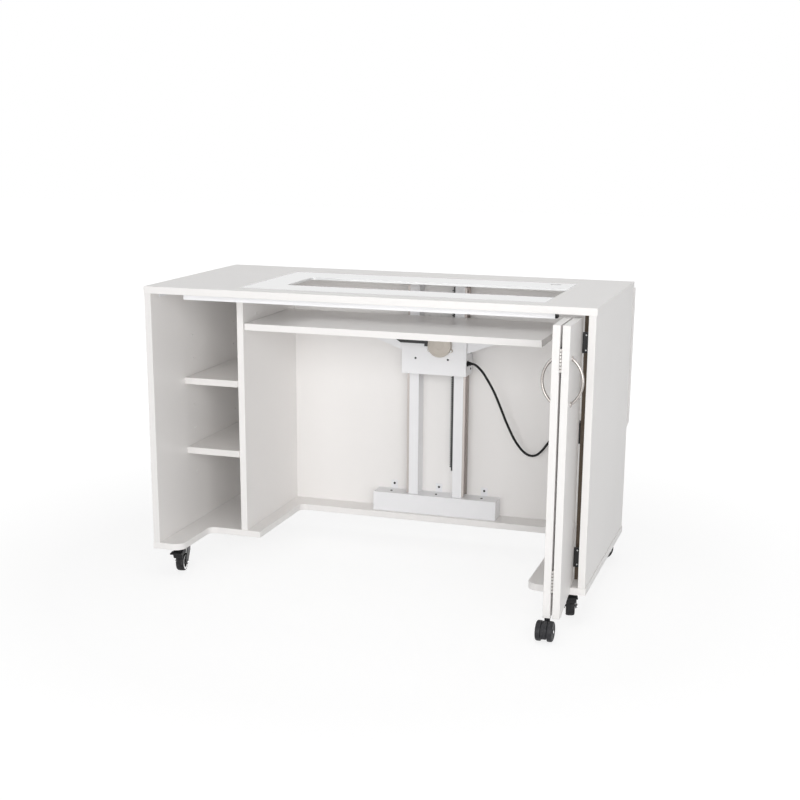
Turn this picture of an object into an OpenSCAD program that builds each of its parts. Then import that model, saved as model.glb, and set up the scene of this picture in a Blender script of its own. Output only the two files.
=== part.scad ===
// Sewing cabinet on casters: an open carcass with a shelf bay on the left, a knee space with a
// rack-and-pinion machine lift, a narrow bi-fold door on the right and a drop leaf at the back.
// Heights are measured from the underside of the base board, x from the left end of the table
// top and y from its front edge; at_origin() then stands the whole cabinet on the floor.

/* [Carcass] */
// Width over the table top
cabinet_w = 1175; // [1120:1:1260]
// Depth of the table top
cabinet_d = 571; // [550:1:640]
// Height from the underside of the base board to the table top
carcass_h = 706; // [690:1:760]
// Thickness of every board
board_t = 18; // [16:0.5:19]
// Step in from each end of the table top to the side panel
side_inset = 2; // [0:0.5:4]
// Height of the base board's underside above the floor
caster_h = 74; // [72:1:90]

/* [Base board] */
// Width of the left foot of the base board
left_foot_w = 83; // [70:1:120]
// Width of the right foot of the base board
right_foot_w = 148; // [130:1:160]
// Depth of the knee cut-out beside the shelf bay
knee_step_d = 180; // [150:1:200]
// Where the deep knee cut-out starts
knee_x = 234; // [220:1:260]
// Depth of the deep knee cut-out
knee_d = 482; // [440:1:484]
// Radius of the rounded feet
foot_r = 28; // [10:1:40]
// Radius of the inner corners of the cut-out
knee_r = 20; // [5:1:40]

/* [Shelf bay] */
// Where the divider stands
divider_x = 177; // [160:1:190]
// Set-back of the divider's front edge
divider_y = 183; // [175:1:190]
// Set-back of the shelves' front edges
shelf_y = 178; // [175:1:220]
// Play at each side of a shelf
shelf_play = 0.5; // [0.3:0.1:1]
// Height of the lowest pin hole
pin_first_z = 157.5; // [120:0.5:180]
// Spacing of the pin holes
pin_pitch = 65; // [55:1:68]
// Number of pin holes in a row
pin_count = 7; // [5:1:8]
// Pin hole under the lower shelf, counted from 0
lower_shelf_hole = 1; // [0:1:2]
// Pin hole under the upper shelf, counted from 0
upper_shelf_hole = 4; // [3:1:5]
// Radius of a shelf pin
pin_r = 2.5; // [2:0.1:3]
// Radial clearance of a pin in its hole
pin_clearance = 0.05; // [0.02:0.01:0.1]
// Depth of a pin hole
pin_hole_d = 10; // [8:0.5:12]
// Length of a pin outside its hole
pin_out = 9; // [6:0.5:12]
// Set-back of the front row of pin holes
pin_front_y = 235; // [220:1:260]
// Distance from the back panel to the rear row of pin holes
pin_back_gap = 53; // [40:1:80]

/* [Table top insert] */
// Thickness of the glossy insert
insert_t = 6; // [4:0.5:8]
// Left end of the insert
insert_x = 243; // [238:1:270]
// Distance from the insert to the right end of the table top
insert_right = 135; // [120:1:150]
// Set-back of the insert's front edge
insert_y = 63; // [60:1:90]
// Depth of the insert
insert_d = 388; // [380:1:392]
// Width of the ledge that the insert lies on
ledge_w = 10; // [6:1:14]
// Gap around the insert
insert_gap = 0.5; // [0.3:0.1:1]
// Left end of the machine opening
opening_x = 332; // [300:1:360]
// Set-back of the machine opening
opening_y = 158; // [140:1:170]
// Depth of the machine opening
opening_d = 182; // [170:1:200]
// Corner radius of the machine opening
opening_r = 12; // [5:1:25]
// Length of the finger hole
finger_l = 30; // [24:1:40]
// Radius of the ends of the finger hole
finger_r = 9; // [7:0.5:11]

/* [Front rail] */
// Left end of the rail under the table top
rail_x = 101; // [60:1:150]
// Right end of the rail, from the right end of the table top
rail_right = 105; // [100:1:140]
// Set-back of the rail
rail_y = 24; // [20:1:40]
// Depth of the rail
rail_d = 26; // [20:1:40]
// Height of the rail
rail_h = 15; // [10:1:17]
// Wall of the rail
rail_wall = 1.5; // [1:0.1:2]

/* [Corner brackets] */
// Length of a bracket under the table top
bracket_l = 60; // [40:1:80]
// Width of each of a bracket's flanges
bracket_w = 14; // [10:1:20]
// Set-back of the left front bracket
bracket_front_y = 46; // [46:1:100]
// Set-back of the right front bracket
bracket_mid_y = 150; // [120:1:200]
// Set-back of the rear brackets
bracket_rear_y = 430; // [380:1:440]

/* [Lift] */
// Centre line of the lift
lift_x = 640; // [600:1:660]
// Half of the distance between the outer faces of the columns
column_reach = 79.3; // [75:0.1:90]
// Width of a column
column_w = 28; // [24:1:34]
// Depth of a column
column_d = 46; // [44:1:54]
// Wall of a column
column_wall = 2; // [1.5:0.1:3]
// Space left above the columns
column_head_gap = 8; // [6:1:15]
// Width of the plinth
plinth_w = 367; // [330:1:400]
// Depth of the plinth
plinth_d = 57; // [50:1:66]
// Height of the plinth
plinth_h = 55; // [40:1:60]
// Thickness of folded sheet steel
sheet_t = 2; // [1.5:0.1:3]
// Thickness of a fixed slide rail
slide_t = 6; // [5:0.1:6.2]
// Depth of a fixed slide rail
slide_d = 40; // [34:1:42]
// Web and lips of a fixed slide rail
slide_web = 1.2; // [1:0.1:1.5]
// Running gap around the inner slide member
slide_play = 0.5; // [0.3:0.1:0.8]
// Inner space between a column and the lift housing's flange
flange_gap = 12.7; // [12.7:0.1:14]
// Height of the platform's upper face below the table top
platform_drop = 112; // [108:1:140]
// Width of the platform
platform_w = 810; // [760:1:830]
// Set-back of the platform's front edge
platform_y = 186; // [184:1:230]
// Gap between the platform and what stands beside it
platform_gap = 2; // [1.5:0.5:6]
// Gap between the platform and the columns
platform_back_gap = 7; // [5:1:12]
// Height of the lift housing
housing_h = 144; // [130:1:160]
// Distance from the lift housing's front plate to the columns
housing_gap = 27; // [26:1:30]
// Depth of the housing's side flanges
flange_d = 67; // [60:1:69]
// Radius of the flanges' lower rear corners
flange_r = 20; // [8:1:30]
// Reach of a gusset beyond the housing
gusset_w = 190; // [120:1:220]
// Height of a gusset
gusset_h = 80; // [60:1:100]
// Set-back of the platform arms' front ends from the platform's edge
arm_setback = 24; // [10:1:60]
// Size of the angle that an arm is cut from
arm_size = 30; // [20:1:36]
// Wall of that angle
arm_wall = 3; // [2:0.5:4]
// Length over which an arm's upright leg tapers at its front end
arm_taper = 180; // [100:1:220]
// Half of the distance between the arms
arm_reach = 65; // [50:1:80]

// Distance from the control box's left side to the right end of the table top
control_box_right = 135; // [120:1:200]
// Distance from the lift's centre line to the left screw of the housing's front
housing_screw_left = 53; // [40:1:70]
// Distance from the lift's centre line to the right screw of the housing's front
housing_screw_right = 41; // [30:1:70]

/* [Lift drive] */
// Module of the rack and pinion
gear_module = 2; // [2:0.5:2]
// Teeth of the pinion
pinion_teeth = 24; // [20:1:24]
// Width of the pinion
pinion_w = 14; // [10:1:15]
// Width of the rack
rack_w = 12; // [8:1:12]
// Thickness of the rack with its teeth
rack_t = 10; // [9:0.5:11]
// Extra centre distance and half of the backlash
mesh_play = 0.2; // [0.15:0.01:0.3]
// Pressure angle
pressure_angle = 20; // [20:1:20]
// Height of the rack's lower end
rack_z = 150; // [130:1:165]
// Height of the motor's axis below the underside of the platform
motor_drop = 58; // [50:1:62]
// Radius of the gearcase
gearcase_r = 33.5; // [28:0.5:38]
// Depth of the gearcase in front of the housing
gearcase_d = 16; // [10:1:20]
// Radius of the motor behind the front plate
motor_r = 27; // [20:1:29]
// Length of the motor behind the front plate
motor_l = 22; // [18:1:23]
// Radius of the motor's shaft
shaft_r = 6; // [5:0.5:8]
// Running clearance of a shaft or pin in its bore
run_clearance = 0.05; // [0.03:0.01:0.09]

/* [Door] */
// Gap between the door's inner leaf and the side panel
door_side_gap = 18; // [16:0.5:20]
// Gap between the two folded leaves
leaf_gap = 5; // [5:0.1:6]
// Reach of the folded leaves in front of the carcass
door_reach = 127; // [110:1:140]
// Reach of the folded leaves into the carcass
door_inside = 30; // [24:1:31]
// Height of the leaves' upper edge below the table top's underside
door_top_gap = 7; // [5:1:12]
// Height of the leaves' lower edge above the base board
door_foot_gap = 2; // [2:0.5:5]
// Drop of the leaves' lower front corner below the base board
toe_drop = 20; // [10:1:25]
// Height of the slanted lower edge just in front of the base board
toe_rise = 9; // [2:1:12]
// Distance from the front edges of the leaves to the fold axis
fold_front = 1; // [1:0.1:1.5]
// Radius of a door hinge's barrel
door_barrel_r = 2.2; // [2:0.05:2.3]
// Radius of a door hinge's pin
door_pin_r = 1.1; // [0.9:0.05:1.2]
// Thickness of a door hinge's plates
door_plate_t = 1.2; // [1:0.05:1.3]
// Width of a fold hinge's plates
fold_plate_w = 30; // [20:1:36]
// Height of a fold hinge
fold_hinge_h = 56; // [45:1:64]
// Heights at which the fold hinges start
fold_hinge_zs = [44, 573];
// Height of a cranked side hinge
side_hinge_h = 50; // [40:1:56]
// Heights at which the cranked side hinges start
side_hinge_zs = [62, 594];
// Set-back of the door's pivot axis
pivot_y = 0.5; // [0.3:0.1:0.8]
// Gap between the door's rear edge and the crank behind it
crank_gap = 3; // [2.5:0.1:5]
// Thickness of the crank
crank_t = 3; // [2.5:0.1:3.5]
// Depth of the side hinge's wall plate
wall_plate_d = 30; // [20:1:36]
// Thickness of the side hinge's wall plate
wall_plate_t = 4; // [3:0.5:5]
// Set-back of the dark sealing strip behind the door
strip_y = 68; // [66:1:80]
// Thickness of the sealing strip
strip_t = 6; // [4:1:8]
// Reach of the sealing strip from the side panel
strip_w = 21; // [15:1:24]
// Set-back of the notch that passes under the front rail
notch_y = 18; // [16:1:20]
// Clearance of that notch under the rail
notch_gap = 2; // [1.5:0.5:4]

/* [Door handles] */
// Set-back of the handles from the leaves' front edges
handle_back = 32; // [25:1:45]
// Height of the handles' middle
handle_z = 548; // [500:1:560]
// Distance between a handle's feet
handle_span = 107; // [90:1:128]
// Reach of a handle, at the middle of its bar
handle_reach = 27; // [24:1:36]
// Radius of a handle's bar
handle_bar_r = 3.5; // [3:0.5:5]
// Radius of a handle's feet
handle_foot_r = 6.5; // [5.5:0.5:8]

/* [Drop leaf] */
// Gap between the carcass and the hanging leaf
rear_gap = 9; // [9:0.5:12]
// Length of the leaf
rear_leaf_l = 412; // [300:1:440]
// Radius of the leaf's lower corners
rear_leaf_r = 45; // [10:1:80]
// Gap between the table top's rear edge and the raised leaf
rear_edge_gap = 1; // [0.8:0.1:1.5]
// Radius of a drop leaf hinge's barrel
rear_barrel_r = 4; // [3:0.1:4]
// Radius of a drop leaf hinge's pin
rear_pin_r = 2; // [1.5:0.1:2.2]
// Thickness of a drop leaf hinge's plates
rear_plate_t = 2; // [1.5:0.1:2]
// Width of a drop leaf hinge's plates
rear_plate_w = 38; // [25:1:45]
// Length of a drop leaf hinge
rear_hinge_l = 80; // [60:1:120]
// Distance from the outer hinges to the ends of the table top
rear_hinge_inset = 110; // [80:1:200]

/* [Casters] */
// Radius of a carcass caster's wheel
wheel_r = 25; // [20:1:26]
// Width of a carcass caster's wheel
wheel_w = 22; // [14:1:24]
// Distance from a caster's swivel axis to its wheel's axle
caster_trail = 18; // [12:1:20]
// Distance from the side of the table top to the casters
caster_side = 51; // [40:1:60]
// Set-back of the front casters
caster_front = 76; // [60:1:90]
// Distance from the rear edge to the rear casters
caster_back = 34; // [30:1:90]
// Radius of the axle
axle_r = 3; // [2.5:0.5:4]
// Gap between a wheel and its fork
wheel_gap = 2; // [0.6:0.1:3]
// Thickness of a fork's legs
fork_t = 2.5; // [2:0.5:3]
// Rest directions of the front left, front right, rear left and rear right casters
caster_turns = [10, 13, -35, 150];
// Reach of a brake pedal from the swivel axis
pedal_reach = 76; // [60:1:80]
// Width of a brake pedal's pad
pedal_pad_w = 32; // [24:1:40]
// Thickness of the pedal's body above the wheel
pedal_body_t = 14; // [8:0.5:15]
// Radius of the door caster's wheels
door_wheel_r = 25; // [18:0.5:25]
// Width of each of the door caster's wheels
door_wheel_w = 13; // [12:1:20]
// Distance from the door caster's swivel axis to its axle
door_trail = 24; // [16:1:24]
// Distance from the leaves' front edges to the door caster
door_caster_back = 15.5; // [12:0.5:20]
// Width of the body between the door caster's wheels
hood_w = 14; // [13:0.5:20]
// Step in from the door caster's wheels to the body between them
hood_step = 2; // [1:0.5:6]
// Gap between that body and each wheel
hood_gap = 0.8; // [0.4:0.1:1.5]

/* [Hidden] */
eps = 0.01;
// origin: middle of the cabinet's box, on the floor
pivot_x = cabinet_w - side_inset - board_t - door_side_gap - board_t - leaf_gap / 2;
fold_y = -door_reach - fold_front;
origin_x = cabinet_w / 2;
door_caster_y = -door_reach + door_caster_back;
front_reach = min(fold_y - door_barrel_r, door_caster_y - door_trail - door_wheel_r);
origin_y = (front_reach + cabinet_d + rear_gap + board_t) / 2;

// boards
left_in = side_inset + board_t;
right_in = cabinet_w - side_inset - board_t;
back_y = cabinet_d - board_t;
floor_z = board_t;
under_z = carcass_h - board_t;
divider_right = divider_x + board_t;

// shelf pins
function pin_z(i) = pin_first_z + i * pin_pitch;
function shelf_z(i) = pin_z(i) + pin_r;
pin_back_y = back_y - pin_back_gap;
cover_r = 5;
cover_t = 0.8;
cover_y = 277;
cover_zs = [117, 417, 610];

// table top
insert_w = cabinet_w - insert_right - insert_x;
finger_x = insert_x + insert_w - 50;
finger_y = insert_y + insert_d - 27;

// lift
column_y = back_y - column_d;
column_z = floor_z + plinth_h;
column_h = under_z - column_head_gap - column_z;
column_in = column_reach - column_w;
housing_y = column_y - housing_gap;
housing_reach = column_reach + flange_gap + sheet_t;
platform_x = divider_right + platform_gap;
platform_z = carcass_h - platform_drop - board_t;
platform_d = column_y - platform_back_gap - platform_y;
housing_z = platform_z - housing_h;
plinth_y = back_y - plinth_d;
gusset_y = housing_y + 8;
gland_y = housing_y + 9;
gland_z = housing_z + 36;
gland_r = 6;
screw_r = 3.5;
screw_head = 1.6;
tab_w = 20;
tab_h = 25;
tie_t = 5;

// drive: the rack's teeth face left and the pinion is in mesh with them at rest
pitch_r = gear_module * pinion_teeth / 2;
base_r = pitch_r * cos(pressure_angle);
tooth_pitch = PI * gear_module;
rack_pitch_x = lift_x + column_in - rack_t + gear_module;
pinion_x = rack_pitch_x - pitch_r - mesh_play;
pinion_z = platform_z - motor_drop;
pinion_y = column_y + 4;
rack_top = column_z + column_h - 4;
rack_first = ceil((rack_z + tooth_pitch - pinion_z) / tooth_pitch);
rack_last = floor((rack_top - tooth_pitch - pinion_z) / tooth_pitch) - 1;
function inv_deg(a) = tan(a) * 180 / PI - a;
function tooth_half(r) = 90 / pinion_teeth - mesh_play / 2 / pitch_r * 180 / PI
    + inv_deg(pressure_angle) - inv_deg(acos(min(1, base_r / max(r, base_r))));
flank_rs = [for (k = [-1.15, -0.6, -0.2, 0.25, 0.6, 1]) pitch_r + k * gear_module];

// door
inner_leaf_x = pivot_x + leaf_gap / 2;
outer_leaf_x = pivot_x - leaf_gap / 2 - board_t;
door_top_z = under_z - door_top_gap;
door_foot_z = floor_z + door_foot_gap;
crank_y = door_inside + crank_gap;
strap_t = 2.4;
wall_plate_y = crank_y - 5;
leaf_edge_y = -3;
handle_y = -door_reach + handle_back;
handle_r = (pow(handle_span / 2, 2) + pow(handle_reach, 2)) / (2 * handle_reach);
handle_half = asin(handle_span / 2 / handle_r);

// drop leaf: the axis lies so that the raised leaf is flush with the table top
rear_axis_y = cabinet_d + rear_gap / 2;
rear_axis_z = carcass_h - (rear_gap / 2 + board_t);
rear_top_z = rear_axis_z + rear_gap / 2 - rear_edge_gap;
rear_hinge_xs = [rear_hinge_inset, (cabinet_w - rear_hinge_l) / 2,
                 cabinet_w - rear_hinge_inset - rear_hinge_l];

// casters
plate_t = 2.5;
plate_size = 44;
swivel_r = 15;
swivel_h = 5;
axle_z = wheel_r - caster_h;
fork_in = wheel_w / 2 + wheel_gap;
crown_z = -plate_t - swivel_h;
caster_xs = [caster_side, cabinet_w - caster_side, caster_side, cabinet_w - caster_side];
caster_ys = [caster_front, caster_front, cabinet_d - caster_back, cabinet_d - caster_back];
door_caster_x = outer_leaf_x + board_t / 2;
stem_h = 3;
stem_gap = 0.4;
stem_pin = 8;
door_axle_z = door_wheel_r - caster_h;

// lift cable: from the gland to the control box, points chosen by hand, 7 mm thick
cable_r = 3.5;
cable_sides = 10;
cable_points = [
    [746, 489, 468], [754, 489, 467], [765, 490, 460], [778, 492, 446], [790, 494, 428],
    [802, 497, 407], [813, 500, 385], [823, 503, 361], [833, 506, 336], [843, 509, 310],
    [854, 512, 285], [866, 515, 260], [880, 518, 238], [896, 521, 220], [913, 524, 211],
    [930, 527, 213], [945, 529, 226], [958, 531, 244], [972, 533, 262], [989, 535, 276],
    [1004, 536, 283], [1019, 536, 286], [1034, 536, 286]
];
control_box = [60, 28, 60];
control_box_at = [cabinet_w - control_box_right, back_y - control_box[1], 256];

// colours
laminate = "#eeece8";
laminate_side = "#e6e4e0";
insert_white = "#f6f6f6";
steel_white = "#f0f1f4";
dark = "#1c1c1e";
tyre_grey = "#2b2b2e";
zinc = "#c9cacc";
chrome = "#d8dadd";
nickel = "#b9b6b0";
cast_grey = "#c8bfb4";

module at_origin() {
    translate([-origin_x, -origin_y, caster_h]) children();
}

module block(x0, x1, y0, y1, z0, z1) {
    translate([x0, y0, z0]) cube([x1 - x0, y1 - y0, z1 - z0]);
}

// A cylinder along x, y or z that starts at a point.
module rod_x(at, r, l, fn = 32) {
    translate(at) rotate([0, 90, 0]) cylinder(r = r, h = l, $fn = fn);
}

module rod_y(at, r, l, fn = 32) {
    translate(at) rotate([-90, 0, 0]) cylinder(r = r, h = l, $fn = fn);
}

module rod_z(at, r, l, fn = 32) {
    translate(at) cylinder(r = r, h = l, $fn = fn);
}

// Table top with the through opening and the rebate that holds the insert.
module top_panel() {
    color(laminate) at_origin() difference() {
        block(0, cabinet_w, 0, cabinet_d, under_z, carcass_h);
        block(insert_x, insert_x + insert_w, insert_y, insert_y + insert_d,
              carcass_h - insert_t, carcass_h + 1);
        block(insert_x + ledge_w, insert_x + insert_w - ledge_w,
              insert_y + ledge_w, insert_y + insert_d - ledge_w,
              under_z - 1, carcass_h + 1);
    }
}

// Outline of the machine opening: open at its right end, with two rounded left corners.
module opening_outline() {
    right = insert_x + insert_w + 1;
    translate([opening_x + opening_r, opening_y])
        square([right - opening_x - opening_r, opening_d]);
    translate([opening_x, opening_y + opening_r])
        square([opening_r + eps, opening_d - 2 * opening_r]);
    for (y = [opening_y + opening_r, opening_y + opening_d - opening_r])
        translate([opening_x + opening_r, y]) circle(r = opening_r, $fn = 48);
}

module finger_outline() {
    translate([finger_x - finger_l / 2 + finger_r, finger_y - finger_r])
        square([finger_l - 2 * finger_r, 2 * finger_r]);
    for (s = [-1, 1])
        translate([finger_x + s * (finger_l / 2 - finger_r), finger_y])
            circle(r = finger_r, $fn = 32);
}

module machine_insert() {
    color(insert_white) at_origin()
        translate([0, 0, carcass_h - insert_t]) linear_extrude(height = insert_t)
            difference() {
                translate([insert_x + insert_gap, insert_y + insert_gap])
                    square([insert_w - 2 * insert_gap, insert_d - 2 * insert_gap]);
                opening_outline();
                finger_outline();
            }
}

// Blind pin holes along a panel's face; dir is 1 for holes that go towards +x.
module pin_holes(face_x, dir) {
    for (i = [0 : pin_count - 1], y = [pin_front_y, pin_back_y])
        rod_x([dir > 0 ? face_x - 1 : face_x - pin_hole_d, y, pin_z(i)],
              pin_r + pin_clearance, pin_hole_d + 1, 24);
}

module left_side_panel() {
    color(laminate_side) at_origin() difference() {
        block(side_inset, left_in, 0, cabinet_d, floor_z, under_z);
        pin_holes(left_in, -1);
    }
}

module right_side_panel() {
    color(laminate_side) at_origin()
        block(right_in, right_in + board_t, 0, cabinet_d, floor_z, under_z);
}

module back_panel() {
    color(laminate) at_origin()
        block(left_in, right_in, back_y, cabinet_d, floor_z, under_z);
}

// A square corner less its round, for rounding the foot whose corner is at the origin.
module corner_waste(r) {
    difference() {
        translate([-1, -1]) square([r + 1, r + 1]);
        translate([r, r]) circle(r = r, $fn = 64);
    }
}

module knee_outline() {
    right = cabinet_w - right_foot_w;
    translate([left_foot_w, -1]) square([right - left_foot_w, knee_step_d + 1 - knee_r]);
    translate([left_foot_w + knee_r, -1])
        square([right - left_foot_w - knee_r, knee_step_d + 1]);
    translate([left_foot_w + knee_r, knee_step_d - knee_r]) circle(r = knee_r, $fn = 64);
    translate([knee_x, 0]) square([right - knee_x, knee_d - knee_r]);
    translate([knee_x + knee_r, 0]) square([right - knee_x - 2 * knee_r, knee_d]);
    for (x = [knee_x + knee_r, right - knee_r])
        translate([x, knee_d - knee_r]) circle(r = knee_r, $fn = 64);
}

// Base board: two rounded feet joined by a strip along the back.
module base_board() {
    color(laminate_side) at_origin() linear_extrude(height = board_t) difference() {
        square([cabinet_w, cabinet_d]);
        knee_outline();
        translate([left_foot_w, 0]) mirror([1, 0]) corner_waste(foot_r);
        translate([cabinet_w - right_foot_w, 0]) corner_waste(foot_r);
    }
}

module shelf_divider() {
    color(laminate_side) at_origin() difference() {
        block(divider_x, divider_right, divider_y, back_y, floor_z, under_z);
        pin_holes(divider_x, 1);
    }
}

module shelf(i) {
    block(left_in + shelf_play, divider_x - shelf_play, shelf_y, back_y - shelf_play,
          shelf_z(i), shelf_z(i) + board_t);
}

module upper_shelf() {
    color(laminate) at_origin() shelf(upper_shelf_hole);
}

module lower_shelf() {
    color(laminate) at_origin() shelf(lower_shelf_hole);
}

module shelf_pins() {
    color(chrome) at_origin()
        for (i = [lower_shelf_hole, upper_shelf_hole], y = [pin_front_y, pin_back_y]) {
            rod_x([left_in - pin_hole_d, y, pin_z(i)], pin_r, pin_hole_d + pin_out, 24);
            rod_x([divider_x - pin_out, y, pin_z(i)], pin_r, pin_hole_d + pin_out, 24);
        }
}

// Box rail under the table top, open at both ends; the closed door stops in front of it.
module front_rail() {
    color(steel_white) at_origin() difference() {
        block(rail_x, cabinet_w - rail_right, rail_y, rail_y + rail_d,
              under_z - rail_h, under_z);
        block(rail_x - 1, cabinet_w - rail_right + 1, rail_y + rail_wall,
              rail_y + rail_d - rail_wall, under_z - rail_h + rail_wall,
              under_z - rail_wall);
    }
}

// Slotted steel angle in the corner between a side panel and the table top.
module top_bracket(y0) {
    size = bracket_w;
    length = bracket_l;
    difference() {
        union() {
            block(0, sheet_t, y0, y0 + length, under_z - size, under_z);
            block(0, size, y0, y0 + length, under_z - sheet_t, under_z);
        }
        for (y = [y0 + length * 0.2, y0 + length * 0.6])
            block(-1, sheet_t + 1, y, y + length * 0.2, under_z - 9, under_z - 5);
    }
}

module top_brackets() {
    color(steel_white) at_origin() {
        for (y = [bracket_front_y, bracket_rear_y]) translate([left_in, 0, 0]) top_bracket(y);
        for (y = [bracket_mid_y, bracket_rear_y])
            translate([right_in, 0, 0]) mirror([1, 0, 0]) top_bracket(y);
    }
}

module screw_covers() {
    color(laminate) at_origin()
        for (z = cover_zs) rod_x([divider_right, cover_y, z], cover_r, cover_t, 32);
}

// Folded steel box on the base board that carries the columns.
module lift_plinth() {
    color(steel_white) at_origin() {
        difference() {
            block(lift_x - plinth_w / 2, lift_x + plinth_w / 2, plinth_y, back_y,
                  floor_z, floor_z + plinth_h);
            block(lift_x - plinth_w / 2 + sheet_t, lift_x + plinth_w / 2 - sheet_t,
                  plinth_y + sheet_t, back_y + 1, floor_z - 1, floor_z + plinth_h - sheet_t);
        }
        for (s = [-1, 0, 1])
            block(lift_x + s * plinth_w * 0.37 - tab_w / 2, lift_x + s * plinth_w * 0.37 + tab_w / 2,
                  back_y - sheet_t, back_y, floor_z + plinth_h - eps, floor_z + plinth_h + tab_h);
    }
}

module plinth_screws() {
    color(dark) at_origin() for (s = [-1, 0, 1]) {
        x = lift_x + s * plinth_w * 0.37;
        rod_z([x, plinth_y + plinth_d * 0.44, floor_z + plinth_h], screw_r, screw_head, 24);
        rod_y([x, back_y - sheet_t - screw_head, floor_z + plinth_h + tab_h * 0.6],
              screw_r, screw_head, 24);
    }
}

// Steel tube from the plinth to just under the table top.
module column(side) {
    mid = lift_x + side * (column_reach - column_w / 2);
    difference() {
        block(mid - column_w / 2, mid + column_w / 2, column_y, back_y,
              column_z, column_z + column_h);
        block(mid - column_w / 2 + column_wall, mid + column_w / 2 - column_wall,
              column_y + column_wall, back_y - column_wall,
              column_z - 1, column_z + column_h + 1);
    }
}

module left_column() {
    color(steel_white) at_origin() column(-1);
}

module right_column() {
    color(steel_white) at_origin() column(1);
}

module column_tie_plate() {
    color(steel_white) at_origin()
        block(lift_x - column_reach, lift_x + column_reach, column_y, back_y,
              column_z + column_h, column_z + column_h + tie_t);
}

// Channel on a column's outer face, open away from the column.
module slide_rail(side) {
    face = column_reach;
    translate([lift_x, 0, 0]) mirror([side < 0 ? 1 : 0, 0, 0]) difference() {
        block(face, face + slide_t, column_y, column_y + slide_d,
              column_z + 3, column_z + column_h - 4);
        block(face + slide_web, face + slide_t + 1, column_y + slide_web,
              column_y + slide_d - slide_web, column_z + 2, column_z + column_h - 3);
    }
}

module slide_rails() {
    color(zinc) at_origin() for (side = [-1, 1]) slide_rail(side);
}

// Inner members of the slides, fastened to the housing's flanges.
module slide_members() {
    inner = column_reach + slide_web + slide_play;
    outer = column_reach + flange_gap;
    color(zinc) at_origin() translate([lift_x, 0, 0])
        for (side = [-1, 1]) mirror([side < 0 ? 1 : 0, 0, 0])
            block(inner, outer, column_y + slide_web + slide_play,
                  column_y + slide_d - slide_web - slide_play,
                  housing_z + 3, platform_z - 6);
}

// One rack tooth space to the next, as a trapezoid on the pitch line.
module rack_outline() {
    back = lift_x + column_in;
    root = rack_pitch_x + 1.25 * gear_module;
    tip = rack_pitch_x - gear_module;
    flank = tan(pressure_angle);
    half = tooth_pitch / 4 - mesh_play / 2;
    half_tip = half - gear_module * flank;
    half_root = half + 1.25 * gear_module * flank;
    polygon(concat(
        [[back, rack_z], [back, rack_top], [root, rack_top]],
        [for (i = [rack_last : -1 : rack_first], k = [0 : 3])
            let (z = pinion_z + (i + 0.5) * tooth_pitch)
            k == 0 ? [root, z + half_root] : k == 1 ? [tip, z + half_tip]
                : k == 2 ? [tip, z - half_tip] : [root, z - half_root]],
        [[root, rack_z]]));
}

module gear_rack() {
    color(dark) at_origin()
        translate([0, pinion_y + (pinion_w + rack_w) / 2, 0]) rotate([90, 0, 0])
            linear_extrude(height = rack_w) rack_outline();
}

module pinion_outline() {
    n = len(flank_rs);
    polygon([for (t = [0 : pinion_teeth - 1], k = [0 : 2 * n - 1])
        let (r = k < n ? flank_rs[k] : flank_rs[2 * n - 1 - k],
             side = k < n ? -1 : 1,
             a = t * 360 / pinion_teeth + side * tooth_half(r))
        [r * cos(a), r * sin(a)]]);
}

// Pinion and the motor shaft that carries it.
module drive_pinion() {
    color(zinc) at_origin() translate([pinion_x, pinion_y, pinion_z]) {
        difference() {
            translate([0, pinion_w, 0]) rotate([90, 0, 0])
                linear_extrude(height = pinion_w) pinion_outline();
            rod_y([0, -1, 0], shaft_r, pinion_w + 2, 48);
        }
        rod_y([0, housing_y + motor_l - 8 - pinion_y, 0], shaft_r,
              pinion_y + pinion_w + 2 - housing_y - motor_l + 8, 48);
    }
}

module control_box_shell() {
    at = control_box_at;
    color(dark) at_origin() {
        translate(at) cube(control_box);
        rod_x([at[0] - 6, at[1] + control_box[1] - 17, at[2] + control_box[2] / 2], 6, 6, 32);
    }
}

module door_sealing_strip() {
    color(dark) at_origin()
        block(right_in - strip_w, right_in, strip_y, strip_y + strip_t, floor_z, under_z);
}

// Barrel segments along z from 0 to h: segment i of n, shortened for running play.
module barrel_segment(i, n, h, r, bore_r, play = 0.3) {
    z0 = i * h / n + (i == 0 ? 0 : play / 2);
    z1 = (i + 1) * h / n - (i == n - 1 ? 0 : play / 2);
    difference() {
        translate([0, 0, z0]) cylinder(r = r, h = z1 - z0, $fn = 32);
        translate([0, 0, z0 - 1]) cylinder(r = bore_r, h = z1 - z0 + 2, $fn = 32);
    }
}

// Half of a butt hinge: its plate lies at x = face, on the +y side of the barrel, and the
// barrel's own segments are joined to it.
module hinge_half(own, n, h, r, pin_radius, face, plate, width) {
    for (i = own) barrel_segment(i, n, h, r, pin_radius + run_clearance);
    side = sign(face);
    x0 = side > 0 ? face - plate : face;
    difference() {
        union() {
            block(x0, x0 + plate, r + 0.4, width, 0, h);
            for (i = own)
                block(x0, x0 + plate, 0.3, r + 0.5, i * h / n + (i == 0 ? 0 : 0.15),
                      (i + 1) * h / n - (i == n - 1 ? 0 : 0.15));
        }
        translate([0, 0, -1]) cylinder(r = pin_radius + run_clearance, h = h + 2, $fn = 32);
    }
}

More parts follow.
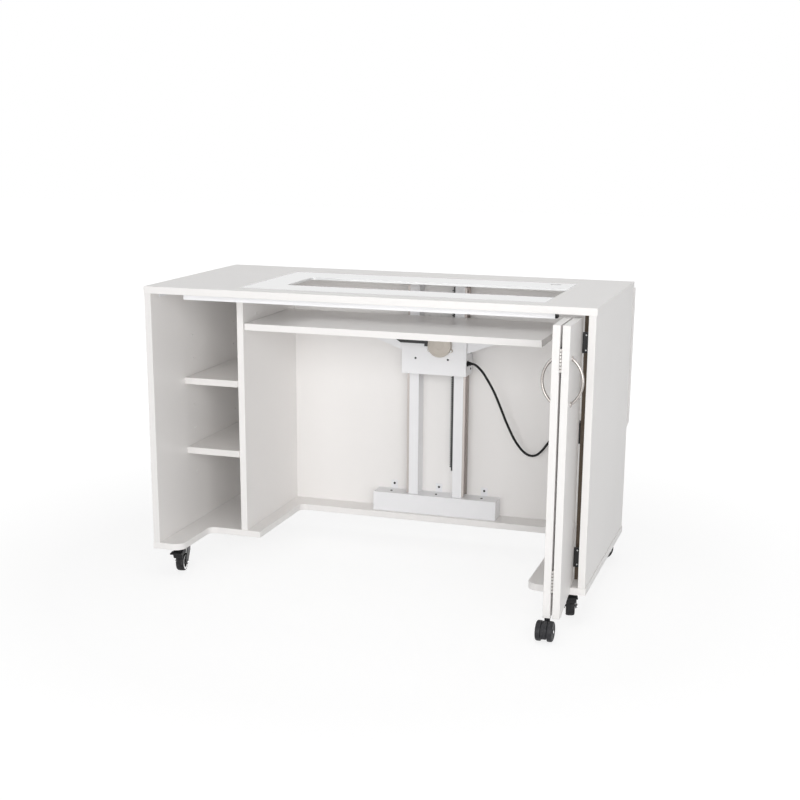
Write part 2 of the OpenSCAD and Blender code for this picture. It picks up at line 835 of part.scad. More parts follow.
// Root half of a cranked side hinge: wall plate, crank behind the leaf, strap, barrel, pin.
module side_hinge(z0) {
    h = side_hinge_h;
    crank_x = pivot_x - strap_t / 2;
    translate([0, 0, z0]) {
        block(right_in - wall_plate_t, right_in, wall_plate_y, wall_plate_y + wall_plate_d, 0, h);
        block(crank_x, right_in - wall_plate_t + eps, crank_y, crank_y + crank_t, 0, h);
        difference() {
            union() {
                block(crank_x, crank_x + strap_t, pivot_y + door_barrel_r + 0.4,
                      crank_y + eps, 0, h);
                for (z = [0, h * 2 / 3 + 0.15])
                    block(crank_x, crank_x + strap_t, pivot_y, crank_y, z, z + h / 3 - 0.15);
            }
            translate([pivot_x, pivot_y, -1])
                cylinder(r = door_barrel_r - 0.05, h = h + 2, $fn = 32);
        }
        translate([pivot_x, pivot_y, 0])
            for (i = [0, 2])
                barrel_segment(i, 3, h, door_barrel_r, door_pin_r + run_clearance);
    }
}

module side_hinge_pin(z0) {
    rod_z([pivot_x, pivot_y, z0], door_pin_r, side_hinge_h, 32);
}

module door_side_hinges() {
    color(dark) at_origin() for (z = side_hinge_zs) {
        side_hinge(z);
        side_hinge_pin(z);
    }
}

// Leaf-side plates and knuckles of the cranked hinges; the plates point to the fold.
module door_side_knuckles() {
    color(dark) at_origin() for (z = side_hinge_zs)
        translate([pivot_x, pivot_y, z]) mirror([0, 1, 0])
            hinge_half([1], 3, side_hinge_h, door_barrel_r, door_pin_r,
                       leaf_gap / 2, door_plate_t, fold_plate_w);
}

// Side view of a leaf: a slanted lower edge in front, a level one over the base board.
module leaf_outline(notched) {
    difference() {
        polygon([[-door_reach, door_top_z], [door_inside, door_top_z],
                 [door_inside, door_foot_z], [leaf_edge_y, door_foot_z],
                 [leaf_edge_y, toe_rise], [-door_reach + 22, -toe_drop],
                 [-door_reach, -toe_drop]]);
        if (notched)
            translate([notch_y, under_z - rail_h - notch_gap])
                square([door_inside - notch_y + 1, rail_h + notch_gap]);
    }
}

module leaf(x0, notched) {
    translate([x0, 0, 0]) rotate([90, 0, 90])
        linear_extrude(height = board_t) leaf_outline(notched);
}

module inner_door_leaf() {
    color(laminate) at_origin() leaf(inner_leaf_x, false);
}

module outer_door_leaf() {
    color(laminate) at_origin() leaf(outer_leaf_x, true);
}

// Bow handle that stands out towards +x from a face at x = 0.
module handle() {
    difference() {
        translate([handle_reach - handle_r, 0, 0]) rotate([90, 0, 0])
            rotate([0, 0, -handle_half - 6])
                rotate_extrude(angle = 2 * handle_half + 12, $fn = 128)
                    translate([handle_r, 0]) circle(r = handle_bar_r, $fn = 32);
        block(-20, 0, -20, 20, -handle_span, handle_span);
    }
    for (s = [-1, 1]) rod_x([0, 0, s * handle_span / 2], handle_foot_r, 2, 32);
}

module inner_door_handle() {
    color(nickel) at_origin()
        translate([inner_leaf_x + board_t, handle_y, handle_z]) handle();
}

module outer_door_handle() {
    color(nickel) at_origin()
        translate([outer_leaf_x, handle_y, handle_z]) mirror([1, 0, 0]) handle();
}

module fold_hinge_inner() {
    color(zinc) at_origin() for (z = fold_hinge_zs) translate([pivot_x, fold_y, z]) {
        hinge_half([0, 2, 4], 5, fold_hinge_h, door_barrel_r, door_pin_r,
                   leaf_gap / 2, door_plate_t, fold_plate_w);
        cylinder(r = door_pin_r, h = fold_hinge_h, $fn = 32);
    }
}

module fold_hinge_outer() {
    color(zinc) at_origin() for (z = fold_hinge_zs) translate([pivot_x, fold_y, z])
        hinge_half([1, 3], 5, fold_hinge_h, door_barrel_r, door_pin_r,
                   -leaf_gap / 2, door_plate_t, fold_plate_w);
}

// Drop leaf that hangs behind the carcass.
module rear_drop_leaf() {
    bottom = rear_top_z - rear_leaf_l;
    color(laminate) at_origin()
        translate([0, cabinet_d + rear_gap + board_t, 0]) rotate([90, 0, 0])
            linear_extrude(height = board_t) {
                translate([0, bottom + rear_leaf_r])
                    square([cabinet_w, rear_leaf_l - rear_leaf_r]);
                translate([rear_leaf_r, bottom])
                    square([cabinet_w - 2 * rear_leaf_r, rear_leaf_r + eps]);
                for (x = [rear_leaf_r, cabinet_w - rear_leaf_r])
                    translate([x, bottom + rear_leaf_r]) circle(r = rear_leaf_r, $fn = 96);
            }
}

// Turns a hinge so that its axis runs along +x and its plates hang down; face +x goes to -y.
module rear_hinge_place(x) {
    translate([x, rear_axis_y, rear_axis_z]) rotate([-90, 0, 0]) rotate([0, 90, 0]) children();
}

module rear_hinge_fixed() {
    color(zinc) at_origin() for (x = rear_hinge_xs) rear_hinge_place(x) {
        hinge_half([0, 2, 4], 5, rear_hinge_l, rear_barrel_r, rear_pin_r,
                   rear_gap / 2, rear_plate_t, rear_plate_w);
        cylinder(r = rear_pin_r, h = rear_hinge_l, $fn = 32);
    }
}

module rear_hinge_moving() {
    color(zinc) at_origin() for (x = rear_hinge_xs) rear_hinge_place(x)
        hinge_half([1, 3], 5, rear_hinge_l, rear_barrel_r, rear_pin_r,
                   -rear_gap / 2, rear_plate_t, rear_plate_w);
}

module platform_board() {
    color(laminate) at_origin()
        block(platform_x, platform_x + platform_w, platform_y, platform_y + platform_d,
              platform_z, platform_z + board_t);
}

// Side flange of the lift housing, with a rounded lower rear corner.
module housing_flange(x0) {
    translate([x0, housing_y, housing_z]) rotate([90, 0, 90])
        linear_extrude(height = sheet_t) {
            translate([0, flange_r]) square([flange_d, housing_h - flange_r]);
            square([flange_d - flange_r, flange_r + eps]);
            translate([flange_d - flange_r, flange_r]) circle(r = flange_r, $fn = 64);
        }
}

// Folded steel housing: front plate, two flanges beside the columns, a shelf in front.
module lift_housing() {
    left = lift_x - housing_reach;
    right = lift_x + housing_reach;
    color(steel_white) at_origin() {
        difference() {
            union() {
                block(left, right, housing_y - sheet_t, housing_y, housing_z, platform_z);
                block(left, right, housing_y - eps, column_y - 4,
                      platform_z - sheet_t, platform_z);
            }
            rod_y([pinion_x, housing_y - sheet_t - 1, pinion_z], motor_r + 1, sheet_t + 2, 64);
        }
        for (x = [left, right - sheet_t]) housing_flange(x);
    }
}

// Two angles under the platform, welded to the housing's front plate.
module platform_arms() {
    front = platform_y + arm_setback;
    back = housing_y - sheet_t;
    color(steel_white) at_origin() for (s = [-1, 1])
        translate([lift_x + s * arm_reach - arm_size / 2, 0, 0]) {
            block(0, arm_size, front, back, platform_z - arm_wall, platform_z);
            rotate([90, 0, 90]) linear_extrude(height = arm_wall)
                polygon([[front, platform_z], [front, platform_z - arm_wall - 1],
                         [front + arm_taper, platform_z - arm_size],
                         [back, platform_z - arm_size], [back, platform_z]]);
        }
}

module platform_gussets() {
    color(steel_white) at_origin() for (side = [0, 1])
        translate([lift_x, gusset_y, platform_z]) mirror([side, 0, 0]) rotate([90, 0, 0])
            linear_extrude(height = 2.5)
                polygon([[housing_reach, 0], [housing_reach + gusset_w, 0],
                         [housing_reach + gusset_w, -8], [housing_reach, -gusset_h]]);
}

// Cast gearcase in front of the housing, with three fixing ears.
module motor_gearcase() {
    ear_r = 5;
    ear_at = gearcase_r + 1.5;
    color(cast_grey) at_origin() {
        rod_y([pinion_x, housing_y - sheet_t - gearcase_d, pinion_z], gearcase_r,
              gearcase_d, 96);
        for (a = [206, 334, 88]) {
            x = pinion_x + ear_at * cos(a);
            z = pinion_z + ear_at * sin(a);
            rod_y([x, housing_y - sheet_t - 7, z], ear_r, 7, 32);
        }
    }
}

module lift_motor() {
    color(cast_grey) at_origin() difference() {
        rod_y([pinion_x, housing_y - sheet_t, pinion_z], motor_r, motor_l + sheet_t, 96);
        rod_y([pinion_x, housing_y + motor_l - 10, pinion_z], shaft_r + run_clearance, 11, 48);
    }
}

// Black bar across the front plate, with a cut left end and a short foot on the right.
module motor_clamp_bar() {
    left = lift_x - housing_reach - 15;
    right = pinion_x - gearcase_r - 3;
    top = platform_z - 47;
    color(dark) at_origin()
        translate([0, housing_y - sheet_t, 0]) rotate([90, 0, 0]) linear_extrude(height = 8)
            polygon([[left, top], [right, top], [right, top - 16], [right - 8, top - 16],
                     [right - 8, top - 9], [left + 14, top - 9]]);
}

module cable_gland() {
    face = lift_x + housing_reach;
    color(dark) at_origin() {
        rod_x([face, gland_y, gland_z], gland_r + 2.5, 3.5, 32);
        rod_x([face + 3.5 - eps, gland_y, gland_z], gland_r, cable_points[0][0] - face - 3.5, 32);
    }
}

module housing_screws() {
    face = lift_x + housing_reach;
    color(dark) at_origin() {
        for (x = [lift_x - housing_screw_left, lift_x + housing_screw_right])
            rod_y([x, housing_y - sheet_t - screw_head, housing_z + 45], 2.6, screw_head, 24);
        for (z = [housing_z + 16, housing_z + 62, housing_z + 106], y = [housing_y + 46])
            rod_x([face, y, z], screw_r, screw_head, 24);
        for (z = [housing_z + 16, housing_z + 62, housing_z + 106])
            rod_x([lift_x - housing_reach - screw_head, housing_y + 46, z], screw_r,
                  screw_head, 24);
    }
}

// Route of the cable as a smooth curve through its points.
function spline(p0, p1, p2, p3, t) = 0.5 * (2 * p1 + (p2 - p0) * t
    + (2 * p0 - 5 * p1 + 4 * p2 - p3) * t * t + (3 * p1 - p0 - 3 * p2 + p3) * t * t * t);
cable_last = len(cable_points) - 1;
cable_steps = 2;
cable_route = [for (i = [0 : cable_last - 1], s = [0 : cable_steps - 1])
    spline(cable_points[max(0, i - 1)], cable_points[i], cable_points[i + 1],
           cable_points[min(cable_last, i + 2)], s / cable_steps),
    cable_points[cable_last]];
function unit(v) = v / norm(v);
function route_dir(i) = i == 0 || i == len(cable_route) - 1 ? [1, 0, 0]
    : unit(cable_route[i + 1] - cable_route[i - 1]);
function ring_point(i, k) = let (d = route_dir(i), a = unit(cross(d, [0, 1, 0])),
                                 b = cross(d, a), w = 360 * k / cable_sides)
    cable_route[i] + cable_r * (cos(w) * a + sin(w) * b);

module lift_cable() {
    rings = len(cable_route);
    n = cable_sides;
    color(dark) at_origin() polyhedron(
        points = [for (i = [0 : rings - 1], k = [0 : n - 1]) ring_point(i, k)],
        faces = concat(
            [[for (k = [n - 1 : -1 : 0]) k]],
            [for (i = [0 : rings - 2], k = [0 : n - 1])
                [i * n + k, i * n + (k + 1) % n, (i + 1) * n + (k + 1) % n, (i + 1) * n + k]],
            [[for (k = [0 : n - 1]) (rings - 1) * n + k]]));
}

// Places a caster's parts at its swivel axis, turned to its rest direction.
module at_caster(i) {
    at_origin() translate([caster_xs[i], caster_ys[i], 0]) rotate([0, 0, caster_turns[i]])
        children();
}

module caster_plates() {
    color(dark) for (i = [0 : 3]) at_origin() translate([caster_xs[i], caster_ys[i], 0])
        difference() {
            block(-plate_size / 2, plate_size / 2, -plate_size / 2, plate_size / 2,
                  -plate_t, 0);
            for (x = [-1, 1], y = [-1, 1])
                rod_z([x * 17, y * 17, -plate_t - 1], 2.5, plate_t + 2, 24);
        }
}

// Swivel head, crown and two legs, with the axle bolt and its nuts.
module fork() {
    out = fork_in + fork_t;
    color(dark) {
        rod_z([0, 0, crown_z], swivel_r, swivel_h, 48);
        block(-out, out, -14, 14, crown_z - 4, crown_z + eps);
        for (s = [-1, 1]) translate([s > 0 ? fork_in : -out, 0, 0]) rotate([90, 0, 90])
            linear_extrude(height = fork_t) difference() {
                union() {
                    polygon([[14, crown_z], [-14, crown_z], [-caster_trail - 7, axle_z + 4],
                             [-caster_trail, axle_z - 6], [-caster_trail + 7, axle_z - 3],
                             [12, crown_z - 16]]);
                    translate([-caster_trail, axle_z]) circle(r = 7, $fn = 48);
                }
                translate([-caster_trail, axle_z]) circle(r = axle_r + run_clearance, $fn = 48);
            }
    }
    color(chrome) {
        rod_x([-out, -caster_trail, axle_z], axle_r, 2 * out, 48);
        for (x = [-out - 3, out]) rod_x([x, -caster_trail, axle_z], 5, 3, 6);
    }
}

module wheel() {
    hub_r = wheel_r - 8;
    translate([-wheel_w / 2, -caster_trail, axle_z]) rotate([0, 90, 0]) {
        color(tyre_grey) rotate_extrude($fn = 96)
            polygon([[hub_r, 0], [wheel_r - 3, 0], [wheel_r, 3], [wheel_r, wheel_w - 3],
                     [wheel_r - 3, wheel_w], [hub_r, wheel_w]]);
        color(chrome) difference() {
            translate([0, 0, 1]) cylinder(r = hub_r, h = wheel_w - 2, $fn = 96);
            translate([0, 0, -1]) cylinder(r = axle_r + run_clearance, h = wheel_w + 2, $fn = 48);
            for (z = [-1, wheel_w - 4]) difference() {
                translate([0, 0, z]) cylinder(r = hub_r - 3, h = 5, $fn = 64);
                translate([0, 0, z - 1]) cylinder(r = 7, h = 7, $fn = 48);
            }
        }
    }
}

// Foot pedal of a braked caster, hinged on a cross pin in front of the swivel head: a thick body
// above the wheel, a skirt with a tooth before the tread, and a thin pad in front.
module brake() {
    half = fork_in - 0.5;
    top = crown_z - 0.5;
    low = top - pedal_body_t;
    color(dark) {
        rod_x([-half, -17.5, crown_z - 2.5], 2, 2 * half, 32);
        block(-half, half, -50, -17.5, low, top);
        translate([-half, 0, 0]) rotate([90, 0, 90]) linear_extrude(height = 2 * half)
            polygon([[-46, top], [-46, low], [-49, low - 8], [-53, low - 8], [-58, low + 2],
                     [-58, top]]);
        block(-pedal_pad_w / 2, pedal_pad_w / 2, -pedal_reach, -54, top - 5, top - 1);
    }
}

module front_left_fork() { at_caster(0) fork(); }
module front_left_wheel() { at_caster(0) wheel(); }
module front_left_brake() { at_caster(0) brake(); }
module front_right_fork() { at_caster(1) fork(); }
module front_right_wheel() { at_caster(1) wheel(); }
module front_right_brake() { at_caster(1) brake(); }
module rear_left_fork() { at_caster(2) fork(); }
module rear_left_wheel() { at_caster(2) wheel(); }
module rear_right_fork() { at_caster(3) fork(); }
module rear_right_wheel() { at_caster(3) wheel(); }

module at_door_caster() {
    at_origin() translate([door_caster_x, door_caster_y, 0]) children();
}

module door_caster_stem() {
    color(dark) at_door_caster() {
        rod_z([0, 0, -toe_drop - stem_h], 8, stem_h, 32);
        rod_z([0, 0, -toe_drop - stem_h - stem_pin], 3, stem_pin + 1, 32);
    }
}

// Body between the twin wheels: round like them in front and on top, open below, with the
// swivel's socket behind and the axle through it.
module door_caster_hood() {
    axle = [0, -door_trail, door_axle_z];
    top = -toe_drop - stem_h - stem_gap;
    body_r = door_wheel_r - hood_step;
    color(dark) at_door_caster() {
        difference() {
            union() {
                difference() {
                    rod_x([-hood_w / 2, axle[1], axle[2]], body_r, hood_w, 96);
                    block(-hood_w, hood_w, -door_trail - body_r - 1, door_trail,
                          door_axle_z - body_r - 1, door_axle_z - body_r * 0.62);
                }
                rod_z([0, 0, top - 14], hood_w / 2, 14, 48);
            }
            rod_z([0, 0, top - stem_pin - 2], 3 + run_clearance, stem_pin + 3, 32);
        }
        rod_x([-hood_w / 2 - hood_gap - door_wheel_w, axle[1], axle[2]], 3,
              2 * door_wheel_w + 2 * hood_gap + hood_w, 32);
    }
}

module door_caster_wheels() {
    color(tyre_grey) at_door_caster()
        for (s = [-1, 1]) translate([s > 0 ? hood_w / 2 + hood_gap
                                           : -hood_w / 2 - hood_gap - door_wheel_w,
                                     -door_trail, door_axle_z])
            rotate([0, 90, 0]) difference() {
                rotate_extrude($fn = 96)
                    polygon([[0, 0], [door_wheel_r - 2, 0], [door_wheel_r, 2],
                             [door_wheel_r, door_wheel_w - 4], [door_wheel_r - 4, door_wheel_w],
                             [0, door_wheel_w]]);
                translate([0, 0, -1])
                    cylinder(r = 3 + run_clearance, h = door_wheel_w + 2, $fn = 32);
            }
}

top_panel();
machine_insert();
left_side_panel();
right_side_panel();
back_panel();
base_board();
shelf_divider();
upper_shelf();
lower_shelf();
shelf_pins();
front_rail();
top_brackets();
screw_covers();
lift_plinth();
plinth_screws();
left_column();
right_column();
column_tie_plate();
slide_rails();
gear_rack();
control_box_shell();
door_sealing_strip();
door_side_hinges();
rear_hinge_fixed();
caster_plates();
platform_board();
lift_housing();
platform_arms();
platform_gussets();
motor_gearcase();
lift_motor();
motor_clamp_bar();
slide_members();
cable_gland();
housing_screws();
lift_cable();
drive_pinion();
inner_door_leaf();
inner_door_handle();
door_side_knuckles();
fold_hinge_inner();
outer_door_leaf();
outer_door_handle();
fold_hinge_outer();
door_caster_stem();
door_caster_hood();
door_caster_wheels();
rear_drop_leaf();
rear_hinge_moving();
front_left_fork();
front_left_wheel();
front_left_brake();
front_right_fork();
front_right_wheel();
front_right_brake();
rear_left_fork();
rear_left_wheel();
rear_right_fork();
rear_right_wheel();
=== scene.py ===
# %% [markdown]
# # A sewing cabinet on casters, dressed in Blender
# The cabinet's solids come from its drawing, already packed as one model. This lesson keeps that
# model as a fixed frame, gives every board, tube and wheel its finish, and swaps the parts that
# are seen closely for rounder ones. Each step says what the piece is on the real cabinet, how it
# could be made, and why it is made this way.

import math

import bmesh
import bpy
from mathutils import Matrix, Vector


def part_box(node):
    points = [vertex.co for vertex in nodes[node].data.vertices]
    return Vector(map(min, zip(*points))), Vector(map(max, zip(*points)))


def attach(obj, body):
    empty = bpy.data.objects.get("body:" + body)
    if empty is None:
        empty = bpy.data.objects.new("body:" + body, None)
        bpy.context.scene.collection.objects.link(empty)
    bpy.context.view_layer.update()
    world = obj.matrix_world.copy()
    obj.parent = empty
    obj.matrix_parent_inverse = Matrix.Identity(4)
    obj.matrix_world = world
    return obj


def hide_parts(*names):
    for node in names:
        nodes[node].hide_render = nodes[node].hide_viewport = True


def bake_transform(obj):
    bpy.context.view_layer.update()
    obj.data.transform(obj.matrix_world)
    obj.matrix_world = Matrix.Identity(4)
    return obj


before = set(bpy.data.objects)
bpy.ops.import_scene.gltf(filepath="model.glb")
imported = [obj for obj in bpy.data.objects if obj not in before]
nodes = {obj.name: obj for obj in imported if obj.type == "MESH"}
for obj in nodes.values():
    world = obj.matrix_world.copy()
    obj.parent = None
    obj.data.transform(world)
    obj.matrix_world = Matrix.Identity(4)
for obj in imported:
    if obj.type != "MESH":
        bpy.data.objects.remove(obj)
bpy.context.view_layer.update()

# %% [markdown]
# ## Millimetres of the drawing
# The drawing measures in millimetres, from a point level with the carcass's underside and straight
# below the front left corner of the table top. Blender works in metres from a point on the floor
# under the middle of the cabinet. One small function turns the first into the second, so that
# every number below can be read against the drawing.

# %% The drawing's millimetres in Blender's metres
MIDDLE_X, MIDDLE_Y, CASTER_H = 587.5, 218.75, 74.0
MM = 0.001
TOP_UNDERSIDE = 688


def at(x, y, z):
    return Vector(((x - MIDDLE_X) * MM, (y - MIDDLE_Y) * MM, (z + CASTER_H) * MM))


low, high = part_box("top_panel")
print("table top:", [round(v, 4) for v in low], [round(v, 4) for v in high])
print("the same corner by at():", [round(v, 4) for v in at(0, 0, TOP_UNDERSIDE)])

# %% [markdown]
# ## The camera
# The photograph was taken from the right, a little above the table top, with the camera tilted
# down by about fifteen degrees. A camera fitted to the cabinet's straight edges looks through a
# point 75 pixels below the picture's middle, and a vertical lens shift gives that offset. The
# camera's axes are written out as a rotation matrix, because the fitted directions are no round
# angles. A new object shows only once it is linked to a collection, so one helper does both.


# %% Camera at the photograph's viewpoint
def add_object(name, data):
    made = bpy.data.objects.new(name, data)
    bpy.context.collection.objects.link(made)
    return made


PICTURE, FOCAL, AXIS_ROW, SENSOR = 800, 1372, 475.4, 36
CAMERA_PLACE = at(1708, -3160, 1136)
right_way = Vector((0.9518, 0.3066, 0.0074))
forward = Vector((-0.2948, 0.9212, -0.2541)).normalized()
right_way = (right_way - forward * right_way.dot(forward)).normalized()
up_way = right_way.cross(forward).normalized()
camera_data = bpy.data.cameras.new("photo_camera")
camera_data.sensor_width = SENSOR
camera_data.lens = FOCAL * SENSOR / PICTURE
camera_data.shift_y = (AXIS_ROW - PICTURE / 2) / PICTURE
camera_data.clip_start, camera_data.clip_end = 0.1, 60
camera = add_object("photo_camera", camera_data)
turn = Matrix((right_way, up_way, -forward)).transposed().to_4x4()
camera.matrix_world = Matrix.Translation(CAMERA_PLACE) @ turn
bpy.context.scene.camera = camera
print("lens:", round(camera_data.lens, 2), "shift:", round(camera_data.shift_y, 4))

# %% [markdown]
# ## Shader maths as expressions
# A material is a graph of small nodes. Written one by one, the nodes hide the idea, so one small
# class wraps a socket and lets numbers and sockets be added and multiplied like plain values. Any
# other node comes from a single method, which sets the node's options first and its inputs next.
# Every material starts from an empty graph.


# %% A socket that can be calculated with
class Flow:
    def __init__(self, tree, socket):
        self.tree, self.socket = tree, socket

    def maths(self, operation, a, b=0.0):
        return node(self.tree, "ShaderNodeMath", {"operation": operation}, {0: a, 1: b})

    def __add__(self, other):
        return self.maths("ADD", self, other)

    __radd__ = __add__

    def __sub__(self, other):
        return self.maths("SUBTRACT", self, other)

    def __rsub__(self, other):
        return self.maths("SUBTRACT", other, self)

    def __mul__(self, other):
        return self.maths("MULTIPLY", self, other)

    __rmul__ = __mul__

    def __pow__(self, other):
        return self.maths("POWER", self, other)

    def above(self, other):
        return self.maths("GREATER_THAN", self, other)


def node(tree, kind, settings=None, inputs=None, output=0):
    made = tree.nodes.new(kind)
    for name, value in (settings or {}).items():
        setattr(made, name, value)
    for key, value in (inputs or {}).items():
        if isinstance(value, Flow):
            tree.links.new(value.socket, made.inputs[key])
        else:
            made.inputs[key].default_value = value
    return Flow(tree, made.outputs[output]) if len(made.outputs) else made


def blank(name):
    material = bpy.data.materials.new(name)
    material.use_nodes = True
    tree = material.node_tree
    tree.nodes.clear()
    return material, tree


trial, trial_tree = blank("trial")
result = 1 - node(trial_tree, "ShaderNodeValue") * 2
print("1 - value * 2 makes", len(trial_tree.nodes), "nodes, the last is",
      result.socket.node.operation)
bpy.data.materials.remove(trial)

# %% [markdown]
# ## What every finish shares
# All the finishes are one Principled shader with a little life in it: a slow drift of the colour,
# a finer drift of the roughness, and a bump as fine as the real surface's grain. Only the scales
# and amounts differ from finish to finish. The noises read Object coordinates, in metres, so a
# scale of 1000 is a grain of one millimetre, whatever the size of the piece. A Mix node has one
# set of sockets for each kind of value, so its colour sockets are picked by their numbers.

# %% One shader for all finishes
COLOUR_A, COLOUR_B, COLOUR_OUT = 6, 7, 2


def place_of(tree, stretch=(1, 1, 1)):
    here = node(tree, "ShaderNodeTexCoord", output="Object")
    if stretch == (1, 1, 1):
        return here
    return node(tree, "ShaderNodeMapping", inputs={"Vector": here, "Scale": stretch})


def noise(tree, place, scale, detail, rough=0.5):
    return node(tree, "ShaderNodeTexNoise", inputs={
        "Vector": place, "Scale": scale, "Detail": detail, "Roughness": rough})


def blend_colour(tree, amount, first, second):
    a, b = (side if isinstance(side, Flow) else (*side, 1) for side in (first, second))
    return node(tree, "ShaderNodeMix", {"data_type": "RGBA"},
                {0: amount, COLOUR_A: a, COLOUR_B: b}, COLOUR_OUT)


def shade(tree, colour, roughness, bump=None, metallic=0.0, **sockets):
    inputs = {"Base Color": colour if isinstance(colour, Flow) else (*colour, 1),
              "Roughness": roughness, "Metallic": metallic}
    if bump is not None:
        inputs["Normal"] = bump
    inputs.update({name.replace("_", " "): value for name, value in sockets.items()})
    surface = node(tree, "ShaderNodeBsdfPrincipled", inputs=inputs)
    node(tree, "ShaderNodeOutputMaterial", inputs={"Surface": surface})


def raised(tree, height, distance, strength):
    return node(tree, "ShaderNodeBump", inputs={
        "Height": height, "Distance": distance, "Strength": strength})


trial, trial_tree = blank("trial")
print("a blend of two colours gives a socket of type",
      blend_colour(trial_tree, 0.5, (0, 0, 0), (1, 1, 1)).socket.type)
bpy.data.materials.remove(trial)

# %% [markdown]
# ## White laminate
# The boards are particle board under a warm-white paper foil with a very fine pearl grain, a bit
# like an orange peel. Close up, the foil shows faint cloudy patches where it took the glue, and
# the light breaks up on the grain. Two noises give the patches and the grain. The front edges are
# covered with a strip of edge banding. On the side panels, the door leaves and the shelves, a face
# that looks to the front or the back is painted a little darker, as painted shade on the edges.


# %% White laminate for the boards
def laminate(name, tone, rough=0.36, edge_shade=1.0):
    material, tree = blank(name)
    place = place_of(tree)
    clouds = noise(tree, place, 9, 3)
    grain = noise(tree, place, 850, 2)
    pores = noise(tree, place, 2600, 1)
    darker = tuple(c * 0.972 for c in tone)
    colour = blend_colour(tree, clouds * 0.7 + grain * 0.3, tone, darker)
    # faces that look to the front or the back are painted darker here: painted shade on the board
    # edges
    if edge_shade < 1:
        normal = node(tree, "ShaderNodeTexCoord", output="Normal")
        facing = node(tree, "ShaderNodeSeparateXYZ", inputs={0: normal}, output="Y")
        edge = facing.maths("ABSOLUTE", facing).above(0.7)
        colour = blend_colour(tree, edge, colour, tuple(c * edge_shade for c in tone))
    shade(tree, colour, grain * 0.10 + clouds * 0.06 + (rough - 0.08),
          raised(tree, grain * 0.7 + pores * 0.3, 0.00004, 0.55))
    return material


BOARD_TONE = (0.93, 0.911, 0.896)
board_white = laminate("white_laminate", BOARD_TONE)
# side panels, door leaves and shelves get painted shade on their front and back faces
edge_shaded_white = laminate("edge_shaded_laminate", BOARD_TONE, edge_shade=0.94)
shelf_white = laminate("shelf_laminate", (0.91, 0.888, 0.868), 0.42, 0.92)
print("laminates:", board_white.name, edge_shaded_white.name, shelf_white.name)

# %% [markdown]
# ## Powder-coated steel
# The lift, the rail and the plinth are folded sheet and square tube under a cool-white powder
# coat. The powder melts into a skin with soft dimples about a millimetre across. A Voronoi
# texture's smooth cells are the closest match to those dimples, with a faint noise over them.


# %% Powder coat for the steel
def powder_coat(name, tone, rough, dimple=0.00005):
    material, tree = blank(name)
    place = place_of(tree)
    cells = node(tree, "ShaderNodeTexVoronoi", {"feature": "SMOOTH_F1"}, {
        "Vector": place, "Scale": 900, "Smoothness": 1.0})
    drift = noise(tree, place, 14, 3)
    shade(tree, blend_colour(tree, drift, tone, tuple(c * 0.965 for c in tone)),
          drift * 0.10 + cells * 0.06 + (rough - 0.08), raised(tree, cells, dimple, 0.5))
    return material


steel_white = powder_coat("powder_coated_steel", (0.915, 0.915, 0.93), 0.34)
steel_black = powder_coat("black_steel", (0.011, 0.011, 0.012), 0.36, 0.00003)
print("coats:", steel_white.name, steel_black.name)

# %% [markdown]
# ## The glossy insert
# The panel round the machine opening is a sheet of white acrylic, as smooth as glass, and it
# mirrors the room. A low roughness under a clear coat gives that, and a handful of hairline
# scratches, visible only in a highlight, keep it from looking like paint. Each scratch is a very
# thin line of a stretched noise.


# %% Acrylic for the insert
def acrylic(name, tone):
    material, tree = blank(name)
    place = place_of(tree, (6, 90, 1))
    lines = noise(tree, place, 9, 4, 0.6)
    fine = lines.above(0.66) * 0.05
    clouds = noise(tree, place_of(tree), 5, 2)
    shade(tree, blend_colour(tree, clouds, tone, tuple(c * 0.985 for c in tone)),
          fine + clouds * 0.02 + 0.045, raised(tree, clouds, 0.0002, 0.05),
          Coat_Weight=0.6, Coat_Roughness=0.03, IOR=1.49)
    return material


insert_gloss = acrylic("white_acrylic", (0.90, 0.90, 0.905))
print("insert:", insert_gloss.name)

# %% [markdown]
# ## Dark plastic and rubber
# The door's twin wheels, the pedals and the cable gland are moulded in black plastic with a spark
# texture. The tyres are a harder rubber that has picked up a little dust. The dust is a lighter
# colour mixed in by a noise, and it also makes the surface rougher. The strip in the gap beside
# the door is painted dark brown as painted shade, the deep shadow in that gap between two white
# boards.


# %% Moulded plastic and tyre rubber
def moulded(name, tone, rough, dust=0.0, grain_scale=1500):
    material, tree = blank(name)
    place = place_of(tree)
    spark = noise(tree, place, grain_scale, 2)
    patches = noise(tree, place, 120, 4, 0.6)
    dusty = (patches ** 3) * dust
    lighter = tuple(min(1, c + 0.16) for c in tone)
    shade(tree, blend_colour(tree, dusty, tone, lighter),
          dusty * 0.5 + spark * 0.12 + (rough - 0.06), raised(tree, spark, 0.00005, 0.6),
          Specular_IOR_Level=0.22)
    return material


black_plastic = moulded("black_plastic", (0.007, 0.007, 0.008), 0.40, 0.25)
grey_plastic = moulded("dark_grey_plastic", (0.022, 0.022, 0.025), 0.42, 0.4)
tyre_rubber = moulded("tyre_rubber", (0.012, 0.012, 0.013), 0.60, 0.8, 900)
cable_rubber = moulded("cable_rubber", (0.009, 0.009, 0.010), 0.5, 0.25, 2200)
# the strip in the gap beside the door is painted dark brown: painted shade of that gap
gap_shade_brown = moulded("sealing_strip", (0.15, 0.115, 0.085), 0.6, 0.3, 1200)
print("plastics:", black_plastic.name, grey_plastic.name)
print("rubbers:", tyre_rubber.name, cable_rubber.name, gap_shade_brown.name)
